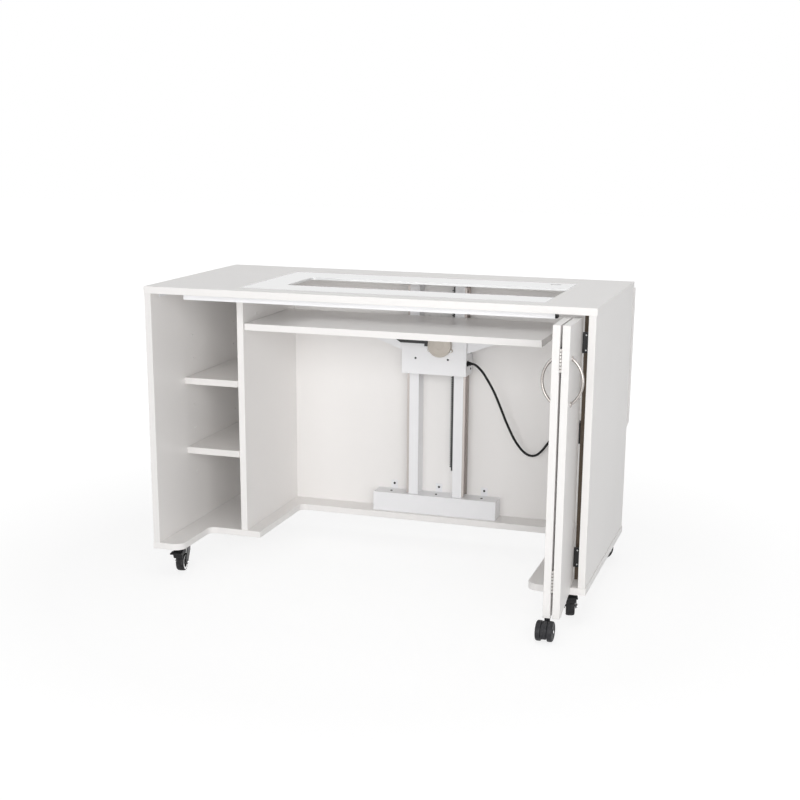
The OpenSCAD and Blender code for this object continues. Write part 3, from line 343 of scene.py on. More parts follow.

# %% [markdown]
# ## Bare metals
# The hinges are zinc plated, with a soft mottled shine, and the slides are greased grey steel. The
# hub rings and pins are polished, and the handles are satin nickel, brushed along their length.
# All of them are a metallic shader whose roughness and colour drift. The brushing is a noise
# squeezed along one axis. The door's fold hinges show only their rolled barrels, and the shade in
# the slits between the short rolls is painted as dark bands of colour that repeat along the
# height.


# %% Zinc, steel, chrome and satin nickel
def bare_metal(name, tone, rough, spangle, stretch=(1, 1, 1), scale=300, roll=0.0):
    material, tree = blank(name)
    place = place_of(tree, stretch)
    grain = noise(tree, place, scale, 3, 0.6)
    drift = noise(tree, place_of(tree), 40, 2)
    colour = blend_colour(tree, grain * 0.6 + drift * 0.4, tone,
                          tuple(c * (1 - spangle) for c in tone))
    # dark bands at the slits between the hinge's short rolls: painted shade
    if roll > 0:
        rolls = node(tree, "ShaderNodeSeparateXYZ", inputs={0: place_of(tree)},
                     output="Z") * (1 / roll)
        slit_shade = rolls.maths("FRACT", rolls).above(0.75)
        colour = blend_colour(tree, slit_shade, colour, (0.10, 0.095, 0.09))
    shade(tree, colour, grain * 0.14 + drift * 0.05 + (rough - 0.09),
          raised(tree, grain, 0.00002, 0.4), metallic=1.0)
    return material


zinc = bare_metal("zinc_plate", (0.72, 0.73, 0.74), 0.34, 0.16)
barrel_zinc = bare_metal("hinge_barrels", (0.62, 0.60, 0.58), 0.34, 0.16, roll=0.008)
slide_steel = bare_metal("slide_steel", (0.48, 0.44, 0.42), 0.38, 0.16)
chrome = bare_metal("polished_chrome", (0.90, 0.90, 0.905), 0.12, 0.05)
nickel = bare_metal("satin_nickel", (0.46, 0.43, 0.41), 0.22, 0.10, (8, 8, 1), 260)
print("metals:", zinc.name, barrel_zinc.name, slide_steel.name, chrome.name, nickel.name)

# %% [markdown]
# ## The cast motor cap
# The gearcase is a die casting under a warm-grey paint, with a grainy skin that the paint softens.
# It needs a coarser bump than the folded steel beside it, so the eye tells cast from folded.


# %% Painted casting
def painted_casting(name, tone):
    material, tree = blank(name)
    place = place_of(tree)
    skin = noise(tree, place, 420, 4, 0.65)
    drift = noise(tree, place, 30, 2)
    shade(tree, blend_colour(tree, skin * 0.5 + drift * 0.5, tone,
                             tuple(c * 0.9 for c in tone)),
          skin * 0.2 + 0.38, raised(tree, skin, 0.00012, 0.6), metallic=0.15)
    return material


cast_grey = painted_casting("cast_cap", (0.60, 0.55, 0.49))
print("casting:", cast_grey.name)

# %% [markdown]
# ## A finish for every solid
# The solids from the drawing each have one material slot. Filling it is enough where the shape
# is right as it is: nothing is moved or remeshed. A table of finishes and node names is easier to
# read and to check than a separate line for each solid.

# %% Give each solid its finish
CORNERS = ["front_left", "front_right", "rear_left", "rear_right"]
FINISHES = [
    (board_white, ["top_panel", "back_panel", "base_board", "screw_covers", "shelf_divider",
                   "platform_board", "rear_drop_leaf"]),
    (edge_shaded_white, ["left_side_panel", "right_side_panel", "inner_door_leaf",
                    "outer_door_leaf"]),
    (shelf_white, ["upper_shelf", "lower_shelf"]),
    (insert_gloss, ["machine_insert"]),
    (steel_white, ["front_rail", "top_brackets", "lift_plinth", "left_column", "right_column",
                   "column_tie_plate", "lift_housing", "platform_arms", "platform_gussets"]),
    (steel_black, ["plinth_screws", "housing_screws", "motor_clamp_bar", "door_side_hinges",
                   "door_side_knuckles", "caster_plates", "door_caster_stem", "gear_rack",
                   *(corner + "_fork" for corner in CORNERS)]),
    (black_plastic, ["control_box_shell", "cable_gland",
                     *(corner + "_brake" for corner in CORNERS[:2])]),
    (grey_plastic, ["door_caster_hood", "door_caster_wheels"]),
    # the gap strip's brown is painted shade of the gap beside the door
    (gap_shade_brown, ["door_sealing_strip"]),
    (tyre_rubber, [corner + "_wheel" for corner in CORNERS]),
    (zinc, ["drive_pinion", "rear_hinge_fixed", "rear_hinge_moving"]),
    (barrel_zinc, ["fold_hinge_inner", "fold_hinge_outer"]),
    (slide_steel, ["slide_rails", "slide_members"]),
    (chrome, ["shelf_pins"]),
    (nickel, ["inner_door_handle", "outer_door_handle"]),
    (cast_grey, ["motor_gearcase", "lift_motor"]),
    (cable_rubber, ["lift_cable"]),
]
for finish, names in FINISHES:
    for name in names:
        nodes[name].data.materials.clear()
        nodes[name].data.materials.append(finish)
print("finished solids:", sum(len(names) for _, names in FINISHES), "of", len(nodes))

# %% [markdown]
# ## Helpers for new pieces
# Every new piece is built in a bmesh, in the drawing's place but in metres, and then made an
# object whose origin stays at the world's origin. It rides on one of the cabinet's bodies, so it
# moves with that body's joint, and it may stand in for a solid. Operators leave doubled corners
# and mixed normals behind, so a second helper merges the first and turns the others outwards.


# %% Turn a bmesh into a piece of the cabinet
def make_piece(name, shape, finishes, body, smooth=30, instead_of=()):
    mesh = bpy.data.meshes.new(name)
    shape.to_mesh(mesh)
    shape.free()
    for material in finishes if isinstance(finishes, list) else [finishes]:
        mesh.materials.append(material)
    piece = add_object(name, mesh)
    mesh.shade_smooth()
    mesh.set_sharp_from_angle(angle=math.radians(smooth))
    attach(piece, body)
    if instead_of:
        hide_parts(*instead_of)
    return piece


def closed_up(shape):
    bmesh.ops.remove_doubles(shape, verts=shape.verts, dist=1e-6)
    bmesh.ops.recalc_face_normals(shape, faces=shape.faces)
    return shape


# %% [markdown]
# ## A lathe and a rounded box
# Most small parts of the cabinet are turned or moulded round. For those, half a section is drawn
# as radius and height in millimetres and spun round an axis. The rest are blocks: a cube is
# scaled between two corners, and all its edges are bevelled. A solid piece has no open edges, so
# those are counted for a test ring.


# %% Lathe and rounded box
def lathe(profile, axis, centre, steps, shape=None, material=0):
    """Spins a profile of (radius, height) in mm round an axis through centre."""
    shape = shape or bmesh.new()
    ring = [shape.verts.new((r * MM, 0, h * MM)) for r, h in profile]
    edges = [shape.edges.new(pair) for pair in zip(ring, ring[1:])]
    before = set(shape.faces)
    bmesh.ops.spin(shape, geom=ring + edges, cent=(0, 0, 0), axis=(0, 0, 1),
                   angle=2 * math.pi, steps=steps, use_merge=True)
    made = [f for f in shape.faces if f not in before]
    for face in made:
        face.material_index = material
    corners = list(dict.fromkeys(v for f in made for v in f.verts))
    spin_to = Vector((0, 0, 1)).rotation_difference(Vector(axis)).to_matrix()
    bmesh.ops.rotate(shape, cent=(0, 0, 0), matrix=spin_to, verts=corners)
    bmesh.ops.translate(shape, vec=centre, verts=corners)
    return shape


def edges_of(verts):
    return list(dict.fromkeys(edge for vert in verts for edge in vert.link_edges))


def rounded(shape, edges, width, segments):
    bmesh.ops.bevel(shape, geom=edges, offset=width * MM, offset_type="OFFSET", affect="EDGES",
                    segments=segments, profile=0.5, material=-1)


def brick(shape, low_corner, high_corner, round_off, segments=2):
    """Adds a box between two points in metres, with its edges rounded."""
    made = bmesh.ops.create_cube(shape, size=1)["verts"]
    bmesh.ops.scale(shape, vec=high_corner - low_corner, verts=made)
    bmesh.ops.translate(shape, vec=(low_corner + high_corner) / 2, verts=made)
    rounded(shape, edges_of(made), round_off, segments)


def count(what, shape):
    print(what + ":", len(shape.faces), "faces,", sum(e.is_boundary for e in shape.edges),
          "open edges")


TEST_RING = [(10, 0), (12, 0), (12, 5), (10, 5), (10, 0)]
ring = closed_up(lathe(TEST_RING, (0, 0, 1), (0, 0, 0), 32))
count("a test ring", ring)
ring.free()

# %% [markdown]
# ## Eased edges
# No board or folded sheet has a knife edge. A board's edge banding is trimmed to a radius of about
# a millimetre, and folded steel is rounded too. That narrow curve catches the light and makes a
# white board readable against another. Remodelling every board would be long, so a copy of each
# solid is merged, its flat triangles are joined back into whole faces, and a Bevel modifier rounds
# only its sharp edges.

# %% Round the edges of boards and sheets
EASED_ANGLE, FLAT_ANGLE = 50, 0.5
BOARD_EDGE, INSERT_EDGE, SHEET_EDGE, TUBE_EDGE = 0.9, 0.5, 0.7, 0.6


def ease(name, body, finish, width, segments=3):
    shape = bmesh.new()
    shape.from_mesh(nodes[name].data)
    bmesh.ops.remove_doubles(shape, verts=shape.verts, dist=1e-6)
    bmesh.ops.dissolve_limit(shape, angle_limit=math.radians(FLAT_ANGLE), verts=shape.verts,
                             edges=shape.edges)
    piece = make_piece("eased_" + name, shape, finish, body, instead_of=[name])
    rounding = piece.modifiers.new("eased", "BEVEL")
    rounding.width, rounding.segments = width * MM, segments
    rounding.limit_method, rounding.angle_limit = "ANGLE", math.radians(EASED_ANGLE)
    rounding.use_clamp_overlap = True
    rounding.harden_normals = True


PLAIN_BOARDS = [("top_panel", "cabinet"), ("shelf_divider", "cabinet"),
                ("base_board", "cabinet"), ("back_panel", "cabinet"),
                ("platform_board", "lift"), ("rear_drop_leaf", "drop_leaf")]
# these boards carry painted shade on the faces that look to the front or the back
EDGE_SHADED_BOARDS = [("left_side_panel", "cabinet"), ("right_side_panel", "cabinet"),
                 ("inner_door_leaf", "inner_door"), ("outer_door_leaf", "outer_door")]
SHELVES = [("upper_shelf", "cabinet"), ("lower_shelf", "cabinet")]
for boards, finish in [(PLAIN_BOARDS, board_white), (EDGE_SHADED_BOARDS, edge_shaded_white),
                       (SHELVES, shelf_white)]:
    for name, body in boards:
        ease(name, body, finish, BOARD_EDGE)
ease("machine_insert", "cabinet", insert_gloss, INSERT_EDGE)
for name, body in [("lift_plinth", "cabinet"), ("left_column", "cabinet"),
                   ("right_column", "cabinet"), ("lift_housing", "lift"),
                   ("platform_gussets", "lift"), ("top_brackets", "cabinet")]:
    ease(name, body, steel_white, SHEET_EDGE, 2)
ease("front_rail", "cabinet", steel_white, TUBE_EDGE, 2)

# %% [markdown]
# ## The lift's cable
# A black sheathed cable leaves the gland on the lift housing, hangs in one long bow in front of
# the back panel and climbs to the control box. It has to hang, because the platform travels up
# and down and takes one end with it. The route's points are the drawing's. A smooth curve through
# them is bevelled to a round tube and made a mesh. The gland and the box hold its ends.

# %% The cable as a round tube along its route
CABLE_R = 0.0035
CABLE_POINTS = [
    (746, 489, 468), (754, 489, 467), (765, 490, 460), (778, 492, 446), (790, 494, 428),
    (802, 497, 407), (813, 500, 385), (823, 503, 361), (833, 506, 336), (843, 509, 310),
    (854, 512, 285), (866, 515, 260), (880, 518, 238), (896, 521, 220), (913, 524, 211),
    (930, 527, 213), (945, 529, 226), (958, 531, 244), (972, 533, 262), (989, 535, 276),
    (1004, 536, 283), (1019, 536, 286), (1034, 536, 286)]


def smooth_route(points, steps):
    ends = [points[0], *points, points[-1]]
    route = []
    for a, b, c, d in zip(ends, ends[1:], ends[2:], ends[3:]):
        for i in range(steps):
            t = i / steps
            route.append(0.5 * (2 * b + (c - a) * t + (2 * a - 5 * b + 4 * c - d) * t * t
                                + (3 * b - a - 3 * c + d) * t ** 3))
    return route + [points[-1]]


route = smooth_route([at(*p) for p in CABLE_POINTS], 4)
curve = bpy.data.curves.new("cable_line", "CURVE")
curve.dimensions = "3D"
curve.bevel_depth, curve.bevel_resolution, curve.use_fill_caps = CABLE_R, 4, True
line = curve.splines.new("POLY")
line.points.add(len(route) - 1)
for point, place in zip(line.points, route):
    point.co = (*place, 1)
line_object = add_object("cable_line", curve)
bpy.context.view_layer.update()
cable_mesh = bpy.data.meshes.new_from_object(
    line_object.evaluated_get(bpy.context.evaluated_depsgraph_get()))
cable_mesh.materials.clear()
cable_mesh.materials.append(cable_rubber)
cable_mesh.shade_smooth()
cable = add_object("hanging_cable", cable_mesh)
bpy.data.objects.remove(line_object)
cable_length = sum((b - a).length for a, b in zip(route, route[1:]))
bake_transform(cable)
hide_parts("lift_cable")
print("cable length:", round(cable_length, 4), "m")

# %% [markdown]
# ## The cable's gland
# Where the cable leaves the housing, a nut and a tapered rubber sleeve hold it, so that it never
# bends at the sheet's edge. The nut has six flats, and the sleeve has rings that let it flex. A
# lathe profile makes the sleeve's rings in one spin.


# %% Gland nut and ribbed sleeve
def turned(shape, angle, axis):
    bmesh.ops.rotate(shape, cent=(0, 0, 0), matrix=Matrix.Rotation(angle, 3, axis),
                     verts=shape.verts)


LIFT_X, HOUSING_REACH = 640, 94
NUT_R, NUT_DEPTH, NUT_EDGE, SLEEVE_SUNK = 8.5, 3.5, 0.5, 0.1
SLEEVE = [(0, 0), (6.0, 0), (6.2, 1.2), (5.4, 2.0), (6.0, 2.8), (5.2, 3.8), (5.8, 4.6),
          (5.0, 5.6), (5.5, 6.4), (4.7, 7.4), (4.6, 8.4), (3.7, 8.6), (0, 8.6)]
housing_right = LIFT_X + HOUSING_REACH
sleeve_foot = housing_right + NUT_DEPTH - SLEEVE_SUNK
gland_y, gland_z = CABLE_POINTS[0][1:]
gland = bmesh.new()
bmesh.ops.create_cone(gland, cap_ends=True, segments=6, radius1=NUT_R * MM, radius2=NUT_R * MM,
                      depth=NUT_DEPTH * MM)
rounded(gland, list(gland.edges), NUT_EDGE, 2)
turned(gland, math.pi / 2, "Y")
bmesh.ops.translate(gland, vec=at(housing_right + NUT_DEPTH / 2, gland_y, gland_z),
                    verts=gland.verts)
lathe(SLEEVE, (1, 0, 0), at(sleeve_foot, gland_y, gland_z), 40, gland)
make_piece("gland_with_sleeve", closed_up(gland), black_plastic, "lift",
           instead_of=["cable_gland"])
print("gland from x", housing_right, "to", sleeve_foot + SLEEVE[-1][1], "mm")

# %% [markdown]
# ## Carcass caster wheels
# Each wheel is a rubber tyre moulded on a hub, with a ring pressed into each side. The rings are
# chromed on the front wheels. The rear wheels stand in the shade under the cabinet, and their
# rings are painted black as painted shade. The tyre has a rounded tread with a shallow groove
# beside each shoulder. Both sides of a wheel are alike, so half of each section is drawn and
# mirrored before it is spun, and the same sections serve all four wheels.

# %% Sections of the tyre, the hub and the rings
WHEEL_R, WHEEL_W, TRAIL = 25, 22, 18
HALF_TYRE = [(20.8, 9.8), (21.4, 11.0), (22.6, 10.7), (24.0, 9.0), (24.6, 7.3), (24.3, 6.5),
             (24.8, 5.6), (25.0, 2.5)]
HALF_HUB = [(3.05, 10.0), (5.2, 10.0), (5.8, 9.2), (6.2, 6.8), (13.8, 6.4), (14.4, 8.5),
            (15.0, 9.2), (21.0, 9.2)]
RING = [(14.8, 8.6), (15.0, 9.8), (15.8, 10.5), (20.0, 11.0), (21.0, 10.7), (21.3, 9.9),
        (21.2, 8.6)]
# each caster's swivel axis in x and y, and the angle its fork is turned by
CASTERS = [("front_left", 51, 76, 10), ("front_right", 1124, 76, 13),
           ("rear_left", 51, 537, -35), ("rear_right", 1124, 537, 150)]


def both_sides(half):
    """Mirrors half a section at the wheel's middle and closes it."""
    return half + [(r, -h) for r, h in reversed(half)] + half[:1]


def caster_turn(x, y, degrees):
    """Moves a shape built at the swivel axis, trailing towards -y, to its caster."""
    return Matrix.Translation(at(x, y, 0)) @ Matrix.Rotation(math.radians(degrees), 4, "Z")


def on_axle(sideways=0.0):
    return Vector((sideways, -TRAIL, WHEEL_R - CASTER_H)) * MM


print("widest points: tyre", max(h for _, h in HALF_TYRE), "ring", max(h for _, h in RING))

# %% [markdown]
# ## One wheel for each caster
# The tyre, the hub and the two rings are turned one after the other into one mesh with three
# materials, so that a wheel stays one object that rolls with its caster. It is spun at the world's
# origin, where its axle is simple, then moved to the axle behind the swivel, and last turned round
# the swivel.

# %% Four wheels
for name, x, y, degrees in CASTERS:
    wheel = lathe(both_sides(HALF_TYRE), (1, 0, 0), (0, 0, 0), 96)
    lathe(both_sides(HALF_HUB), (1, 0, 0), (0, 0, 0), 72, wheel, 1)
    for side in (1, -1):
        lathe([(r, side * h) for r, h in RING + RING[:1]], (1, 0, 0), (0, 0, 0), 72, wheel, 2)
    bmesh.ops.transform(wheel, matrix=caster_turn(x, y, degrees)
                        @ Matrix.Translation(on_axle()), verts=wheel.verts)
    # front rings are chrome; the rear rings are black as painted shade under the cabinet
    front_chrome_rear_shade = chrome if name.startswith("front") else black_plastic
    make_piece(name + "_tyre_and_hub", closed_up(wheel),
               [tyre_rubber, black_plastic, front_chrome_rear_shade], name + "_roller", 28,
               [name + "_wheel"])
print("wheels:", len(CASTERS), "of", 2 * WHEEL_R, "mm")

# %% [markdown]
# ## Axle nuts
# A short bolt runs through each fork and ends in a bright domed nut, the one shining spot on an
# otherwise black caster. It is a six-sided cone with bevelled edges and a dome on top, and it
# sits over the solid's plain nut.

# %% Domed nuts on the forks
WHEEL_GAP, FORK_WALL = 2, 2.5
AXLE_NUT_R, AXLE_NUT, AXLE_NUT_EDGE, SUNK = 5.4, 3.4, 0.6, 0.2
fork_out = WHEEL_W / 2 + WHEEL_GAP + FORK_WALL
DOME = [(3.6, 0), (3.4, 0.7), (2.4, 1.4), (1.2, 1.7), (0, 1.8)]
for name, x, y, degrees in CASTERS:
    nuts = bmesh.new()
    for side in (1, -1):
        sit = (Matrix.Translation(on_axle(side * (fork_out + AXLE_NUT / 2)))
               @ Matrix.Rotation(math.pi / 2, 4, "Y"))
        nut = bmesh.ops.create_cone(nuts, cap_ends=True, segments=6, radius1=AXLE_NUT_R * MM,
                                    radius2=AXLE_NUT_R * MM, depth=AXLE_NUT * MM, matrix=sit)
        rounded(nuts, edges_of(nut["verts"]), AXLE_NUT_EDGE, 3)
        lathe(DOME, (side, 0, 0), on_axle(side * (fork_out + AXLE_NUT - SUNK)), 24, nuts)
    bmesh.ops.transform(nuts, matrix=caster_turn(x, y, degrees), verts=nuts.verts)
    make_piece(name + "_axle_nuts", closed_up(nuts), chrome, name + "_caster")
print("nuts:", 2 * len(CASTERS), "at", fork_out, "mm from the wheels' middle")

# %% [markdown]
# ## Brake pedals
# The two front casters can be locked with a toe pedal. A thick moulded body lies over the wheel,
# and its skirt hangs before the tread and ends in a tooth that bites when the pedal is down. In
# front the body thins out into a wide pad, and low ribs keep the foot from slipping. The body and
# its skirt are one side view, drawn through and rounded. A bevel of all edges would also reach the
# pieces that are there already, so the side view is rounded in a mesh of its own first.


# %% A side view drawn through
def move_into(shape, part):
    mesh = bpy.data.meshes.new("part")
    part.to_mesh(mesh)
    part.free()
    shape.from_mesh(mesh)
    bpy.data.meshes.remove(mesh)


def drawn_through(shape, outline, half_width, round_off):
    """Adds a side view of (y, z) points in mm, drawn from -half_width to half_width."""
    drawn = bmesh.new()
    ends = [drawn.verts.new((-half_width * MM, y * MM, z * MM)) for y, z in outline]
    made = bmesh.ops.extrude_face_region(drawn, geom=[drawn.faces.new(ends)])["geom"]
    far = [v for v in made if isinstance(v, bmesh.types.BMVert)]
    bmesh.ops.translate(drawn, vec=(2 * half_width * MM, 0, 0), verts=far)
    rounded(drawn, list(drawn.edges), round_off, 3)
    move_into(shape, drawn)


block = bmesh.new()
drawn_through(block, [(0, 0), (0, 10), (10, 10), (10, 0)], 5, 1)
count("a rounded block", block)
block.free()

# %% [markdown]
# ## Body, pin, pad and ribs of a pedal
# The body hangs on a cross pin in front of the swivel. The pad is a thin rounded box, as wide as a
# toe needs, and the ribs are five narrow boxes on top of it. All of them sit in the pedal's own
# mesh, and the caster's turn is applied once, at the end.

# %% Two pedals
CROWN_Z, PEDAL_REACH, PAD_HALF, BODY_HALF, BODY_T = -7.5, 76, 16, 12.5, 14
BODY_TOP = CROWN_Z - 0.5
BODY_LOW = BODY_TOP - BODY_T
PIN_Y, PIN_Z, PIN_R = -17.5, CROWN_Z - 2.5, 2
PIN = [(0, -BODY_HALF), (PIN_R, -BODY_HALF), (PIN_R, BODY_HALF), (0, BODY_HALF)]
BODY_SIDE = [(PIN_Y, BODY_TOP), (PIN_Y, BODY_LOW), (-45.5, BODY_LOW), (-49, BODY_LOW - 8),
             (-53, BODY_LOW - 8), (-58, BODY_LOW + 2), (-58, BODY_TOP)]
PAD_BACK, RIBS, FIRST_RIB, RIB_PITCH, RIB_W = -53, 5, 2.8, 3.1, 1.4
for name, x, y, degrees in CASTERS[:2]:
    pedal = bmesh.new()
    drawn_through(pedal, BODY_SIDE, BODY_HALF, 1.3)
    lathe(PIN, (1, 0, 0), Vector((0, PIN_Y, PIN_Z)) * MM, 24, pedal)
    brick(pedal, Vector((-PAD_HALF, -PEDAL_REACH, BODY_TOP - 5)) * MM,
          Vector((PAD_HALF, PAD_BACK, BODY_TOP - 1)) * MM, 1.5, 4)
    for k in range(RIBS):
        rib = FIRST_RIB + RIB_PITCH * k - PEDAL_REACH
        brick(pedal, Vector((-BODY_HALF, rib, BODY_TOP - 1.3)) * MM,
              Vector((BODY_HALF, rib + RIB_W, BODY_TOP - 0.4)) * MM, 0.3, 1)
    bmesh.ops.transform(pedal, matrix=caster_turn(x, y, degrees), verts=pedal.verts)
    closed_up(pedal)
    count(name + "_pedal", pedal)
    make_piece(name + "_pedal_pad", pedal, black_plastic, name + "_pedal",
               instead_of=[name + "_brake"])

# %% [markdown]
# ## The door's twin caster
# The folded door rolls on a furniture caster with two moulded wheels and a hood between them. The
# wheels have a dished outer face with a small hub, and their tread is slightly crowned. Both are
# one lathe section, drawn from the wheel's inner face outwards and turned over for the other side.

# %% Twin wheels with dished faces
DOOR_WHEEL_R, HOOD_W, HOOD_GAP = 25.0, 14.0, 0.8
SWIVEL_X, SWIVEL_Y, DOOR_TRAIL = 1105.0, -111.5, 24.0
DOOR_AXLE = at(SWIVEL_X, SWIVEL_Y - DOOR_TRAIL, DOOR_WHEEL_R - CASTER_H)
DISH = [(3.05, 0.4), (14.0, 0.4), (23.0, 0.0), (24.3, 0.5), (24.9, 1.6), (25.0, 4.0),
        (25.0, 8.0), (24.7, 10.0), (23.9, 11.5), (22.4, 12.6), (20.6, 13.0), (19.8, 12.5),
        (18.6, 11.8), (8.4, 11.0), (7.0, 11.2), (6.2, 12.2), (5.2, 12.7), (3.05, 12.7),
        (3.05, 0.4)]
twin = bmesh.new()
for side in (1, -1):
    inner_face = Vector((side * (HOOD_W / 2 + HOOD_GAP), 0, 0)) * MM
    lathe([(r, side * h) for r, h in DISH], (1, 0, 0), DOOR_AXLE + inner_face, 96, twin)
wheels = make_piece("twin_wheels", closed_up(twin), grey_plastic, "door_wheels", 28,
                    ["door_caster_wheels"])
low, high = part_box("door_caster_wheels")
print("twin wheels span", round(wheels.dimensions.x / MM, 2), "mm, their solid",
      round((high - low).x / MM, 2), "mm")

# %% [markdown]
# ## The hood between the twin wheels
# The hood is a short drum that follows the wheels in front and on top. A flat section with a
# rounded rim is swept round the axle, and the sweep stops short of the floor, so that the hood
# stays open below and nothing has to be cut away. A seat on top takes the stem, and the axle
# sticks out on both sides.

# %% Hood with its seat and axle
SWEEP, SWEEP_START, SEAT_Z, HALF_AXLE = 256, -38, -37.4, 20.6
SEAT = [(0, 0), (6.6, 0), (7.0, 0.6), (7.0, 13.4), (6.6, 14.0), (0, 14.0)]
AXLE = [(0, -HALF_AXLE), (3.0, -HALF_AXLE), (3.0, HALF_AXLE), (0, HALF_AXLE)]
half = HOOD_W / 2
section = [(6.0, -half), (23.4, -half), (23.9, -half + 0.4), (24.1, -half + 1.2),
           (24.1, half - 1.2), (23.9, half - 0.4), (23.4, half), (6.0, half)]
hood = bmesh.new()
rim = hood.faces.new([hood.verts.new((u * MM, 0, v * MM)) for u, v in section])
bmesh.ops.spin(hood, geom=[rim, *rim.edges, *rim.verts], cent=(0, 0, 0), axis=(0, 0, 1),
               angle=math.radians(SWEEP), steps=64, use_merge=False)
turned(hood, math.radians(SWEEP_START), "Z")
turned(hood, math.pi / 2, "X")
turned(hood, math.pi / 2, "Z")
bmesh.ops.translate(hood, verts=hood.verts, vec=DOOR_AXLE)
lathe(SEAT, (0, 0, 1), at(SWIVEL_X, SWIVEL_Y, SEAT_Z), 48, hood)
lathe(AXLE, (1, 0, 0), DOOR_AXLE, 32, hood)
make_piece("caster_hood", closed_up(hood), grey_plastic, "door_caster",
           instead_of=["door_caster_hood"])
print("hood: a sweep of", SWEEP, "degrees,", HOOD_W, "mm wide")

# %% [markdown]
# ## Slots and axle caps
# Two narrow slots show in the front of the hood, and a small bright cap closes each end of the
# axle. The slots are shallow dark blocks set into the drum, because at this size a real hole would
# show nothing but the same darkness.

# %% Slots in the hood and caps on the axle
# lowest and highest point above the axle, and shift sideways
SLOTS = [(2.0, 9.0, 0.6), (-6.0, 1.0, -4.6)]
SLOT_HALF, SLOT_FRONT, SLOT_BACK = 1.8, -24.3, -19.5
AXLE_CAP = [(0, 0), (3.6, 0), (3.6, 0.6), (2.8, 1.2), (1.2, 1.6), (0, 1.7)]
window = bmesh.new()
for slot_low, slot_high, shift in SLOTS:
    brick(window, DOOR_AXLE + Vector((shift - SLOT_HALF, SLOT_FRONT, slot_low)) * MM,
          DOOR_AXLE + Vector((shift + SLOT_HALF, SLOT_BACK, slot_high)) * MM, 0.5)
make_piece("hood_window", closed_up(window), steel_black, "door_caster", 35)
caps = bmesh.new()
for side in (1, -1):
    cap_foot = Vector((side * (HALF_AXLE - SUNK), 0, 0)) * MM
    lathe(AXLE_CAP, (side, 0, 0), DOOR_AXLE + cap_foot, 32, caps)
bright = make_piece("door_axle_caps", closed_up(caps), chrome, "door_caster")
print("slots:", len(SLOTS), "width over the caps:", round(bright.dimensions.x / MM, 1), "mm")

# %% [markdown]
# ## Bow handles
# Each door leaf has a slim bow of satin nickel, bent to an arc and screwed on from behind through
# two round feet. The arc is a circle spun about the bow's own centre through the angle between
# the feet, and the feet are small lathed rosettes with a soft edge.

# %% Two bow handles
HANDLE_SPAN, HANDLE_REACH, HANDLE_BAR = 107.0, 27.0, 3.5
HANDLE_Y, HANDLE_Z = -95, 548
HANDLE_FOOT = [(0, 0), (6.5, 0), (6.5, 1.2), (6.1, 1.8), (5.2, 2.2), (4.6, 3.0), (4.2, 3.4),
               (0, 3.4)]
bow_r = ((HANDLE_SPAN / 2) ** 2 + HANDLE_REACH ** 2) / (2 * HANDLE_REACH)
bow_half = math.asin(HANDLE_SPAN / 2 / bow_r)
# the last numbers are the x of the leaf's face and the side that its bow points to
HANDLES = [("inner_door", "inner_bow_handle", 1137.0, 1, "inner_door_handle"),
           ("outer_door", "outer_bow_handle", 1096.0, -1, "outer_door_handle")]
for body, name, face_x, out, solid in HANDLES:
    bow = bmesh.new()
    bmesh.ops.create_circle(bow, cap_ends=False, segments=24, radius=HANDLE_BAR * MM)
    turned(bow, math.pi / 2, "X")
    bmesh.ops.translate(bow, vec=(bow_r * MM, 0, 0), verts=bow.verts)
    turned(bow, -bow_half, "Z")
    bmesh.ops.spin(bow, geom=list(bow.verts) + list(bow.edges), cent=(0, 0, 0),
                   axis=(0, 0, 1), angle=2 * bow_half, steps=72, use_merge=False)
    turned(bow, math.pi / 2, "X")
    bmesh.ops.translate(bow, vec=((HANDLE_REACH - bow_r) * MM, 0, 0), verts=bow.verts)
    bmesh.ops.holes_fill(bow, edges=[e for e in bow.edges if e.is_boundary])
    for end in (1, -1):
        lathe(HANDLE_FOOT, (1, 0, 0), (0, 0, end * HANDLE_SPAN / 2 * MM), 40, bow)
    flip = Matrix.Diagonal((out, 1, 1, 1))
    bmesh.ops.transform(bow, verts=bow.verts,
                        matrix=Matrix.Translation(at(face_x, HANDLE_Y, HANDLE_Z)) @ flip)
    make_piece(name, closed_up(bow), nickel, body, 35, [solid])
print("bow radius:", round(bow_r, 2), "mm, half angle:", round(math.degrees(bow_half), 1))

# %% [markdown]
# ## Screw heads
# The lift, the plinth, the hinges and the caster plates are held by pan-head screws with a hex
# socket. A head is only a few millimetres across, so it needs few faces, but the dark socket is
# what makes it read as a screw. Each head starts as a low cone whose top is inset. The inset's
# corners are moved onto a hexagon, and the face inside them is pushed in.

# %% One screw head
HEAD_SIDES, TOP_SHARE, SOCKET_INSET, SOCKET_SIZE, SOCKET_DEPTH = 18, 0.82, 0.38, 0.92, 0.6
SIXTH = math.pi / 3


def screw(shape, place, axis, radius, height):
    head = bmesh.new()
    bmesh.ops.create_cone(head, cap_ends=True, segments=HEAD_SIDES, radius1=radius,
                          radius2=radius * TOP_SHARE, depth=height)
    bmesh.ops.translate(head, vec=(0, 0, height / 2), verts=head.verts)
    top = max(head.faces, key=lambda f: f.calc_center_median().z)
    bmesh.ops.inset_region(head, faces=[top], thickness=radius * SOCKET_INSET)
    for vertex in top.verts:
        angle = math.atan2(vertex.co.y, vertex.co.x) % SIXTH - SIXTH / 2
        vertex.co.xy = vertex.co.xy * (SOCKET_SIZE / math.cos(angle))
    down = bmesh.ops.extrude_discrete_faces(head, faces=[top])["faces"][0]
    bmesh.ops.translate(head, vec=(0, 0, -height * SOCKET_DEPTH), verts=down.verts)
    turn_to = Vector((0, 0, 1)).rotation_difference(Vector(axis)).to_matrix().to_4x4()
    bmesh.ops.transform(head, matrix=Matrix.Translation(place) @ turn_to, verts=head.verts)
    move_into(shape, head)


